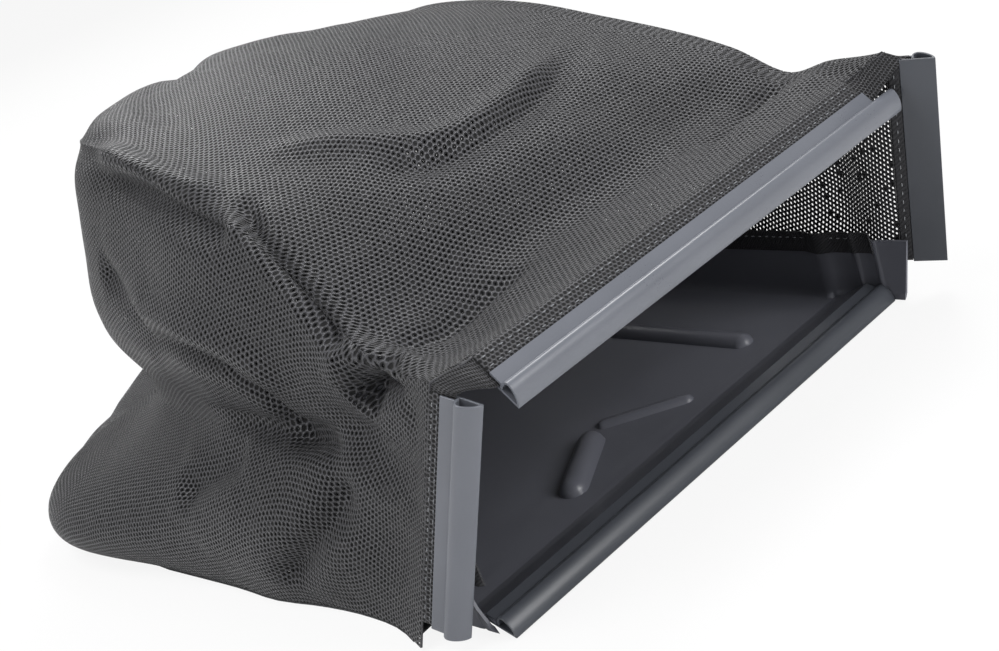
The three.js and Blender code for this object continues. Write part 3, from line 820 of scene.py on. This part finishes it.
@dataclass(frozen=True)
class TapeFinish:
    """Matt woven binding tape, or thread."""

    name: str
    colour: tuple[float, float, float]
    pitch: float = 0.0011

    def material(self) -> bpy.types.Material:
        """Builds the tape's material: fine ribs over object coordinates."""
        made, n = new_material(self.name)
        place = n.add("TexCoord")
        ribs = n.add("TexWave", {"Vector": place.outputs["Object"], "Scale": 0.3 / self.pitch, "Distortion": 0.6,
                                 "Detail": 1.0}, wave_type="BANDS", bands_direction="DIAGONAL")
        low = tuple(c * 0.6 for c in self.colour)
        colour = n.add("MixRGB", {0: ribs.outputs["Fac"], 1: (*low, 1), 2: (*self.colour, 1)})
        bump = n.add("Bump", {"Strength": 0.8, "Distance": 0.0003, "Height": ribs.outputs["Fac"]})
        skin = n.add("BsdfPrincipled", {"Base Color": colour.outputs[0], "Roughness": 0.75, "Normal": bump.outputs[0]})
        n.add("OutputMaterial", {"Surface": skin.outputs[0]})
        return made


@dataclass
class Finishes:
    """Every material of the object, built once."""

    mesh_outer: bpy.types.Material
    mesh_far: bpy.types.Material
    hem: bpy.types.Material
    clip: bpy.types.Material
    clip_low: bpy.types.Material
    tray: bpy.types.Material
    tape: bpy.types.Material
    foot: bpy.types.Material
    thread: bpy.types.Material

    @classmethod
    def build(cls) -> "Finishes":
        """Makes the shared node groups and all materials."""
        weave, wear = weave_group(), wear_group()
        return cls(
            mesh_outer=MeshFinish("mesh_outer").material(weave),
            mesh_far=MeshFinish("mesh_far", open_share=0.95, core=0.6).material(weave),
            hem=MeshFinish("mesh_hem", open_share=0.0, row=0.0026, pitch=0.0032).material(weave),
            clip=PlasticFinish("clip_grey", (0.13, 0.138, 0.16), 0.3, spread=0.04, grain=0.00002).material(wear),
            # The second clip colour is the same plastic painted darker: painted shade for the bottom and right clips
            clip_low=PlasticFinish("clip_dark_painted_shade", (0.058, 0.063, 0.075), 0.32, spread=0.04, grain=0.00002).material(wear),
            # The tray's colour is set well above its black plastic: painted light on the tray inside the bag's mouth
            tray=PlasticFinish("tray_black_painted_light", (0.118, 0.122, 0.145), 0.36, wave=0.0012).material(wear),
            tape=TapeFinish("tape_black", (0.03, 0.03, 0.034)).material(),
            foot=TapeFinish("mesh_foot", (0.045, 0.046, 0.05), 0.0022).material(),
            thread=TapeFinish("thread_grey", (0.30, 0.31, 0.33), 0.0006).material(),
        )


@dataclass
class MeshBag:
    """The bag's three panels, as sheets that keep the weave's scale along their own surface."""

    shape: BagShape
    finishes: Finishes
    thickness: float = 1.2
    columns: dict[Side, int] = field(default_factory=lambda: {Side.LEFT: 120, Side.TOP: 150, Side.RIGHT: 70})
    rows: int = 250
    seam_roll: float = 1.8
    gap_scale: float = 900.0
    rim: TrayRim = TrayRim()
    rim_start: float = 20.0

    def __post_init__(self) -> None:
        """Lays the creases on the bag's shape."""
        self.creases = CreaseField(self.shape, CREASES.values())

    def build(self) -> list[bpy.types.Object]:
        """Makes the three panels."""
        spans = {Side.LEFT: (0.0, 1.0), Side.TOP: (1.0, 2.0), Side.RIGHT: (2.0, 3.0)}
        names = {Side.LEFT: "left_panel", Side.TOP: "top_rear_panel", Side.RIGHT: "right_panel"}
        return [self._panel(side, names[side] + "_cloth", names[side], *spans[side]) for side in Side]

    def _panel(self, side: Side, name: str, node: str, low: float, high: float) -> bpy.types.Object:
        """Makes one panel over part of the bag's surface.

        Args:
            side: Which panel.
            name: The piece's name.
            node: The CAD node it stands for.
            low: Where it starts round the bag.
            high: Where it ends round the bag.

        Returns:
            The panel.
        """
        inset = self.shape.seam_gap / self.gap_scale
        a, v = np.meshgrid(np.linspace(low + inset, high - inset, self.columns[side] + 1),
                           np.linspace(0, 1, self.rows + 1))
        points = self.shape.point(a, v)
        calm = smooth(np.minimum(a, 3 - a), 0, 0.1) * smooth(v, 0.0, 0.05) * (1 - smooth(v, 0.93, 1.0))
        creased = self.creases.height(points.reshape(-1, 3)).reshape(a.shape)
        lift = self._ripple(a, v) + creased * calm
        net = points + self.shape.normal(a, v) * lift[..., None]
        back = net[..., 1] > self.rim_start
        net[back] = self.rim.hang(net[back])
        net[..., 2] = np.maximum(net[..., 2], self.shape.foot_height)
        out = self.shape.normal(np.array([(low + high) / 2]), np.array([0.4]))[0]
        material = self.finishes.mesh_far if side is Side.RIGHT else self.finishes.mesh_outer
        obj = cloth_piece(name, net, self._cloth_lengths(points), out, self.thickness, material)
        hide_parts(node)
        log.info("%s: %d faces, %.3f m2", name, len(obj.data.polygons), cloth_area(obj))
        return obj

    def _ripple(self, a: np.ndarray, v: np.ndarray) -> np.ndarray:
        """Small slack and the roll of the seams, in millimetres, fading out at the hems and the foot."""
        edge = np.abs(a - np.round(a))
        seam = smooth(np.minimum(a, 3 - a), 0, 0.1) * smooth(v, 0.02, 0.08) * (1 - smooth(v, 0.94, 1.0))
        roll = self.seam_roll * np.exp(-((edge / 0.022) ** 2)) * seam
        calm = smooth(edge, 0.0, 0.08) * smooth(v, 0.0, 0.06) * (1 - smooth(v, 0.94, 1.0))
        slow = np.sin(9.0 * a + 14.0 * v + 1.7 * np.sin(7 * v)) * 0.8
        fine = np.sin(23.0 * a - 31.0 * v + 2.1 * np.sin(11 * a)) * 0.35
        return (slow + fine) * calm + roll

    @staticmethod
    def _cloth_lengths(points: np.ndarray) -> np.ndarray:
        """Distances along the cloth, from its middle column and from the mouth.

        Args:
            points: The panel's net, in millimetres.

        Returns:
            Metres across and along at each point of the net.
        """
        p = placed(points)
        across = np.cumsum(np.linalg.norm(np.diff(p, axis=1, prepend=p[:, :1]), axis=-1), 1)
        across -= across[:, p.shape[1] // 2][:, None]
        along = np.cumsum(np.linalg.norm(np.diff(p, axis=0, prepend=p[:1]), axis=-1), 0)
        return np.stack([across, along], -1)


@dataclass
class ClipSet:
    """The four folded plastic profiles."""

    finishes: Finishes
    wall: float = 1.4
    plate: float = 23.0
    bead_length: float = 15.0
    bead_rise: float = 14.5
    grip: float = 2.6
    lip_gap: float = 0.5
    overhang: float = 1.0
    overrun: float = 17.0
    steps: int = 36
    soften: float = 0.35

    def section(self) -> np.ndarray:
        """The profile's outline, with the plate along x and the bead above it."""
        low, top = self.wall + self.grip, 2 * self.wall + self.grip
        t = np.linspace(0, 1, self.steps + 1)[:, None]
        p = [np.array(q, float) for q in ((0, 0), (0.5, self.bead_rise * 0.42),
                                          (self.bead_length - 1, self.bead_rise), (self.bead_length, top))]
        outer = bezier(p, t)
        way = unit(3 * (1 - t) ** 2 * (p[1] - p[0]) + 6 * (1 - t) * t * (p[2] - p[1]) + 3 * t**2 * (p[3] - p[2]))
        inner = outer + np.stack([way[:, 1], -way[:, 0]], 1) * self.wall
        inner = inner[round(self.steps / 6):self.steps]
        end = self.plate + self.overhang
        rim = self.bead_length
        corners = np.array([(rim - self.wall, self.wall + self.lip_gap), (rim, self.wall + self.lip_gap),
                            (rim + 0.4, low), (end, low), (end, top)])
        start = np.array([(0, 0), (self.plate, 0), (self.plate, self.wall), (self.wall * 1.6, self.wall)])
        return np.vstack([start, inner, corners, outer[1:][::-1]])

    def build(self) -> list[bpy.types.Object]:
        """Makes the four clips."""
        return [self._clip(name, place) for name, place in CLIPS.items()]

    def _clip(self, name: str, place: ClipPlace) -> bpy.types.Object:
        """Makes one clip: the section, extruded along it, its far plate cut back where the hook runs on.

        Args:
            name: Which side of the mouth it is on.
            place: Where it lies.

        Returns:
            The clip.
        """
        outline = self.section()
        bm = bmesh.new()
        ring = [bm.verts.new(Vector(placed(place.point(x, y, 0)))) for x, y in outline]
        face = bm.faces.new(ring)
        way = Vector(place.axes()[2]) * place.length * MM
        made = bmesh.ops.extrude_face_region(bm, geom=[face])
        bmesh.ops.translate(bm, verts=[g for g in made["geom"] if isinstance(g, bmesh.types.BMVert)], vec=way)
        bmesh.ops.recalc_face_normals(bm, faces=bm.faces)
        # The bottom and right clips take the darker copy of the clip plastic as painted shade; the top and left take
        # the lighter one
        finish = self.finishes.clip if name in ("top", "left") else self.finishes.clip_low
        obj = add_object(f"{name}_clip_profile", bm, finish, 35)
        if name == "top":
            self._cut_overrun(obj, place)
        edge = obj.modifiers.new("edge", "BEVEL")
        edge.width = self.soften * MM
        edge.segments = 2
        edge.limit_method = "ANGLE"
        edge.angle_limit = math.radians(50)
        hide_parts(f"{name}_clip")
        log.info("%s: %d faces", obj.name, len(obj.data.polygons))
        return obj

    def _cut_overrun(self, obj: bpy.types.Object, place: ClipPlace) -> None:
        """Cuts plate and flange square where only the hook runs on.

        Args:
            obj: The clip.
            place: Where it lies.
        """
        bm = bmesh.new()
        made = bmesh.ops.create_cube(bm, size=1.0)
        x, y, z = place.axes()
        centre = placed(place.point(self.bead_length + self.plate / 2 - 0.3, self.wall + self.grip / 2, place.length))
        sizes = (self.plate * MM, 4 * self.grip * MM, 2 * self.overrun * MM)
        basis = Matrix([list(x * sizes[0]), list(y * sizes[1]), list(z * sizes[2])]).transposed()
        bmesh.ops.transform(bm, matrix=Matrix.Translation(Vector(centre)) @ basis.to_4x4(), verts=made["verts"])
        bmesh.ops.recalc_face_normals(bm, faces=bm.faces)
        mesh = bpy.data.meshes.new("overrun_cutter")
        bm.to_mesh(mesh)
        bm.free()
        cutter = bpy.data.objects.new("overrun_cutter", mesh)
        bpy.context.scene.collection.objects.link(cutter)
        cut = obj.modifiers.new("cut", "BOOLEAN")
        cut.operation, cut.object, cut.solver = "DIFFERENCE", cutter, "EXACT"
        with bpy.context.temp_override(object=obj, active_object=obj, selected_objects=[obj]):
            bpy.ops.object.modifier_apply(modifier=cut.name)
        bpy.data.objects.remove(cutter)


@dataclass
class Hems:
    """The doubled hems that the clips grip, and the tapes behind them."""

    shape: BagShape
    finishes: Finishes
    inset: float = 7.0
    tape_thickness: float = 1.2
    seat: float = 0.3
    strip_columns: int = 8
    strip_rows: int = 120
    lift: float = 0.175

    def build(self) -> list[bpy.types.Object]:
        """Makes a hem and a tape for each of the three sewn clips."""
        made: list[bpy.types.Object] = []
        for name, width, end in (("top", self.shape.top_hem_width, 18.0), ("left", self.shape.side_hem_width, 1.0),
                                 ("right", self.shape.side_hem_width, 1.0)):
            start = self.shape.clip_plate - self.inset
            high = self.shape.clip_plate + width
            low = self.shape.hem_low
            made.append(self._strip(f"{name}_hem_band", f"{name}_hem", CLIPS[name], (start, high + 0.4),
                                    (low, low + self.shape.mesh_thickness), end, self.finishes.hem))
            tape = (low - self.seat - self.tape_thickness, low - self.seat)
            behind = (self.shape.clip_plate + self.seat, high)
            made.append(self._strip(f"{name}_tape_band", f"{name}_tape", CLIPS[name], behind, tape, end,
                                    self.finishes.tape))
        return made

    def _strip(self, name: str, node: str, place: ClipPlace, across: tuple[float, float], out: tuple[float, float],
               end: float, material: bpy.types.Material) -> bpy.types.Object:
        """Makes a flat strip in a clip's frame, cut fine enough to ripple a little.

        Args:
            name: The piece's name.
            node: The CAD node it stands for.
            place: The clip's place.
            across: Where it lies along the plate.
            out: Where it lies out of the plate.
            end: How far short of the clip's end it stops.
            material: Its material.

        Returns:
            The strip.
        """
        f, g = np.meshgrid(np.linspace(0, 1, self.strip_columns + 1), np.linspace(0, 1, self.strip_rows + 1))
        s = across[0] + (across[1] - across[0]) * f
        along = 1 + (place.length - 1 - end) * g
        free = np.maximum(0.0, (s - self.shape.clip_plate - 2) / 10)
        calm = np.sin(math.pi * np.minimum(1.0, np.minimum(g * 8, (1 - g) * 8)) / 2)
        lift = self.lift * free * np.sin(along * 0.11) * calm
        net = place.point(s, out[1] + lift, along)
        obj = cloth_piece(name, net, np.stack([along, s], -1) * MM, place.axes()[1], out[1] - out[0], material)
        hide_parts(node)
        return obj


@dataclass
class CornerHems:
    """Cloth that closes the mouth's upper corners, from the side hem's end to the top hem's end."""

    shape: BagShape
    finishes: Finishes
    end: float = 0.7
    top_span: float = 354.3
    grip: float = 16.0
    reach: float = 9.0
    lap: float = 2.0
    sink: float = 1.0
    thickness: float = 1.0
    columns: int = 12
    steps: int = 36

    def build(self) -> list[bpy.types.Object]:
        """Makes the left and the right corner."""
        return [self._corner(side) for side in (Side.LEFT, Side.RIGHT)]

    def _even(self, line: np.ndarray) -> np.ndarray:
        """The line's points, spaced evenly along it."""
        reach = np.concatenate([[0], np.cumsum(np.linalg.norm(np.diff(line, axis=0), axis=1))])
        at = np.linspace(0, reach[-1], self.steps + 1)
        return np.stack([np.interp(at, reach, line[:, k]) for k in range(3)], 1)

    def edges(self, side: Side) -> tuple[np.ndarray, np.ndarray]:
        """The corner's inner edge, in the clips, and its outer edge, under the bag's.

        Args:
            side: Which corner.

        Returns:
            Two lines of as many points, from the side clip to the top clip.
        """
        clip, top, out = CLIPS[side.value], CLIPS["top"], self.shape.edge_out
        left = side is Side.LEFT
        start = self.shape.left_start if left else self.shape.right_start
        span = self.shape.right_start[0] - self.shape.left_start[0]
        side_end, step = (clip.length - self.end, 1) if left else (self.end, -1)
        top_end = self.end if left else self.top_span
        t = np.linspace(0, 1, 60)[:, None]
        q = [clip.point(self.grip, out, side_end), clip.point(self.grip, out, side_end + step * self.reach),
             top.point(self.grip, out, top_end - step * self.reach), top.point(self.grip, out, top_end)]
        inner = bezier(q, t)
        across = self.shape.top_edge - 6
        u_end = (top.edge[0] + top_end - self.shape.left_start[0]) / span
        u = np.linspace(0.0 if left else 1.0, u_end, 60)
        rim = self.shape.top_point(u, np.zeros(60))
        outer = np.vstack([clip.point(across, out, side_end), start, rim[1:]])
        return self._even(inner), self._even(outer)

    def _corner(self, side: Side) -> bpy.types.Object:
        """Makes one corner.

        Args:
            side: Which corner.

        Returns:
            The corner's cloth.
        """
        inner, outer = self.edges(side)
        outer = outer + unit(outer - inner) * self.lap
        along = np.gradient(outer, axis=0)
        out = unit(np.cross(outer - inner, along))
        out *= np.sign((out * np.array(CLIPS["top"].axes()[1])).sum(1))[:, None]
        f, g = np.meshgrid(np.linspace(0, 1, self.columns + 1), np.linspace(0, 1, self.steps + 1))
        slack = 1.6 * np.sin(math.pi * f) * np.sin(math.pi * g) + 0.5 * np.sin(9 * g + 4 * f) * f * (1 - f) * 4
        wide = (outer - inner)[:, None, :] * f[..., None]
        net = inner[:, None, :] + wide + out[:, None, :] * (slack - self.sink)[..., None]
        lengths = np.stack([g * 0.07, np.linalg.norm(wide, axis=-1) * MM], -1)
        obj = cloth_piece(f"{side.value}_corner_hem", net, lengths, out[self.steps // 2], self.thickness,
                          self.finishes.hem)
        return obj


@dataclass
class Stitching:
    """Rows of machine stitches, each a small bead of thread."""

    finishes: Finishes
    long: float = 3.6
    thick: float = 0.9

    def row(self, name: str, points: np.ndarray, outs: np.ndarray, pitch: float) -> bpy.types.Object:
        """Lays stitches along a line.

        Args:
            name: The piece's name.
            points: The line, in millimetres.
            outs: The way out of the cloth at each point.
            pitch: Distance from stitch to stitch.

        Returns:
            The row, as one piece.
        """
        bm = bmesh.new()
        steps = np.linalg.norm(np.diff(points, axis=0), axis=1)
        reach = np.concatenate([[0], np.cumsum(steps)])
        for s in np.arange(pitch / 2, reach[-1], pitch):
            p = np.array([np.interp(s, reach, points[:, k]) for k in range(3)])
            q = np.array([np.interp(min(reach[-1], s + 0.5), reach, points[:, k]) for k in range(3)])
            o = unit(np.array([np.interp(s, reach, outs[:, k]) for k in range(3)]))
            x = unit(q - p)
            y = unit(np.cross(o, x))
            sides = x * self.long / 2, y * self.thick / 2, np.cross(x, y) * self.thick / 2
            basis = Matrix([list(side) for side in sides]).transposed()
            matrix = Matrix.Translation(Vector(placed(p + o * self.thick * 0.15))) @ (basis * MM).to_4x4()
            bmesh.ops.create_icosphere(bm, subdivisions=1, radius=1.0, matrix=matrix)
        return add_object(name, bm, self.finishes.thread, 80)


@dataclass
class Tray:
    """The moulded tray, its tape and the foot hem, carried over from the CAD solids with merged corners."""

    shape: BagShape
    finishes: Finishes

    def build(self) -> list[bpy.types.Object]:
        """Makes the tray and its rim tape and foot hem."""
        made = [
            self._carry("tray", "tray_shell", self.finishes.tray, 30),
            self._carry("tray_tape", "tray_tape_band", self.finishes.tape, 50),
            self._carry("foot_hem", "foot_hem_band", self.finishes.foot, 50),
        ]
        return made

    def _carry(self, node: str, name: str, material: bpy.types.Material, angle: float) -> bpy.types.Object:
        """Copies a CAD node, merges its corners and gives it a finish.

        Args:
            node: The CAD node.
            name: The piece's name.
            material: Its material.
            angle: Edges sharper than this, in degrees, stay sharp.

        Returns:
            The piece.
        """
        bm = bmesh.new()
        bm.from_mesh(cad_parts[node].data)
        bmesh.ops.remove_doubles(bm, verts=bm.verts, dist=1e-5)
        bmesh.ops.dissolve_limit(bm, angle_limit=math.radians(1), verts=bm.verts, edges=bm.edges)
        if node == "foot_hem":
            self._fit_foot(bm)
        obj = add_object(name, bm, material, angle)
        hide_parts(node)
        return obj


    def _fit_foot(self, bm: bmesh.types.BMesh) -> None:
        """Draws the foot hem's outer edge in to the cloth's foot, where the cloth turns in further."""
        t = np.linspace(0, 1, 200)
        feet = [self.shape.curves["left_foot"].at(t), self.shape.curves["right_foot"].at(t[::-1])]
        ring = placed(np.vstack(feet))[:, :2]
        after = np.roll(ring, -1, 0)
        rise = np.where(after[:, 1] == ring[:, 1], 1e-9, after[:, 1] - ring[:, 1])
        for vert in bm.verts:
            x, y = vert.co.x, vert.co.y
            spans = (ring[:, 1] > y) != (after[:, 1] > y)
            at = ring[:, 0] + (y - ring[:, 1]) * (after[:, 0] - ring[:, 0]) / rise
            if (spans & (x < at)).sum() % 2 == 0:
                vert.co.x, vert.co.y = ring[np.argmin(np.hypot(ring[:, 0] - x, ring[:, 1] - y))]


@dataclass
class Studio:
    """Camera, lamps, world and floor."""

    azimuth: float = -36.4
    elevation: float = 21.3
    roll: float = -21.2
    lens: float = 1676.0 * 36.0 / 999.0
    distance: float = 1.149
    aim: tuple[float, float, float] = (-0.0136, 0.155, 0.0909)

    def build(self) -> None:
        """Sets up everything that isn't the object."""
        self._camera()
        self._world()
        self._floor()
        self._lamp("key", (-0.9, 0.0, 2.1), 1.0, 24.0)
        self._lamp("over", (1.25, 0.3, 1.9), 0.7, 20.0)
        self._lamp("side", (-2.2, 0.1, 1.0), 0.9, 10.0)
        self._lamp("front", (0.45, -2.1, 1.1), 1.0, 30.0)
        self._lamp("back", (0.8, 2.0, 1.5), 1.1, 20.0)
        bpy.context.scene.view_settings.view_transform = "Standard"

    def _camera(self) -> None:
        """Places the camera as the photograph was taken."""
        a, e, r = (math.radians(v) for v in (self.azimuth, self.elevation, self.roll))
        back = np.array([math.sin(a) * math.cos(e), -math.cos(a) * math.cos(e), math.sin(e)])
        right = np.array([math.cos(a), math.sin(a), 0.0])
        up = np.cross(back, right)
        right, up = right * math.cos(r) + up * math.sin(r), -right * math.sin(r) + up * math.cos(r)
        eye = np.array(self.aim) + back * self.distance + np.array([0, BACK_SHIFT * MM, 0])
        data = bpy.data.cameras.new("camera")
        data.lens, data.sensor_width = self.lens, 36.0
        data.clip_start, data.clip_end = 0.05, 30.0
        camera = bpy.data.objects.new("camera", data)
        bpy.context.scene.collection.objects.link(camera)
        camera.matrix_world = Matrix.Translation(Vector(eye)) @ Matrix([right, up, back]).transposed().to_4x4()
        bpy.context.scene.camera = camera

    @staticmethod
    def _seen(n: Nodes) -> bpy.types.NodeSocket:
        """One where the camera, or clear glass, looks straight at the stage."""
        path = n.add("LightPath")
        return n.math("MAXIMUM", path.outputs["Is Camera Ray"], path.outputs["Is Transmission Ray"])

    def _world(self) -> None:
        """A plain sky that shows white and lights softly."""
        world = bpy.data.worlds.new("studio")
        bpy.context.scene.world = world
        world.use_nodes = True
        n = Nodes(world.node_tree)
        strength = n.add("MapRange", {"Value": self._seen(n), "To Min": 0.4, "To Max": 1.0})
        sky = n.add("Background", {"Color": (1, 1, 1, 1), "Strength": strength.outputs[0]})
        n.add("OutputWorld", {"Surface": sky.outputs[0]})

    def _floor(self) -> None:
        """A pale floor that the camera sees as near white, with the object's shadow."""
        bm = bmesh.new()
        bmesh.ops.create_grid(bm, x_segments=1, y_segments=1, size=6.0)
        mesh = bpy.data.meshes.new("floor")
        bm.to_mesh(mesh)
        bm.free()
        floor = bpy.data.objects.new("floor", mesh)
        floor.location.z = -0.0005
        bpy.context.scene.collection.objects.link(floor)
        made, n = new_material("floor_pale")
        matt = n.add("BsdfDiffuse", {"Color": (0.8, 0.8, 0.8, 1)})
        glow = n.add("Emission", {"Color": (1, 1, 1, 1), "Strength": 1.0})
        share = n.math("MULTIPLY", self._seen(n), 0.88)
        mix = n.add("MixShader", {0: share, 1: matt.outputs[0], 2: glow.outputs[0]})
        n.add("OutputMaterial", {"Surface": mix.outputs[0]})
        mesh.materials.append(made)

    @staticmethod
    def _lamp(name: str, place: tuple[float, float, float], size: float, power: float) -> None:
        """Adds a soft square lamp that looks at the object's middle."""
        data = bpy.data.lights.new(name, "AREA")
        data.shape, data.size, data.energy = "SQUARE", size, power
        lamp = bpy.data.objects.new(name, data)
        bpy.context.scene.collection.objects.link(lamp)
        lamp.location = place
        way = Vector((0, 0, 0.12)) - Vector(place)
        lamp.rotation_mode = "QUATERNION"
        lamp.rotation_quaternion = way.to_track_quat("-Z", "Y")


def sew(shape: BagShape, finishes: Finishes) -> list[bpy.types.Object]:
    """Adds the stitch rows of the hems, the tapes and the tray's rim.

    Args:
        shape: The bag's shape.
        finishes: The object's materials.

    Returns:
        One piece for each row.
    """
    stitching = Stitching(finishes)
    made = []
    rows = (("top", 1, 27.0, 19), ("top", 2, 33.5, 19), ("left", 1, 26.2, 2), ("left", 2, 29.4, 2))
    for name, row, across, end in rows:
        place = CLIPS[name]
        along = np.linspace(2, place.length - end, 60)
        line = place.point(np.full(60, across), np.full(60, shape.edge_out), along)
        outs = np.tile(place.axes()[1], (60, 1))
        made.append(stitching.row(f"{name}_hem_stitches_{row}", line, outs, HEM_STITCH))
    place = CLIPS["right"]
    along = np.linspace(2, place.length - 2, 60)
    inner = shape.hem_low - 1.5
    line = place.point(np.full(60, 27.0), np.full(60, inner), along)
    made.append(stitching.row("right_tape_stitches", line, np.tile(-place.axes()[1], (60, 1)), HEM_STITCH))
    for name, x, way in (("right", 201.8, -1.0), ("left", -201.8, 1.0)):
        back = np.linspace(22, 455, 60)
        line = np.stack([np.full(60, x), back, np.full(60, 48.5)], 1)
        outs = np.tile([way, 0.0, 0.0], (60, 1))
        made.append(stitching.row(f"tray_tape_stitches_{name}", line, outs, TAPE_STITCH))
    return made


def main() -> None:
    """Builds the grass box and its stage."""
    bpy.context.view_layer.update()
    studio = Studio()
    studio.build()
    finishes = Finishes.build()
    shape = BagShape()
    bag = MeshBag(shape, finishes).build()
    pieces = [*bag, *ClipSet(finishes).build(), *Hems(shape, finishes).build(), *CornerHems(shape, finishes).build(),
              *Tray(shape, finishes).build()]
    pieces += sew(shape, finishes)
    for piece in pieces:
        log.info("piece %s", piece.name)


if __name__ == "__main__":
    main()
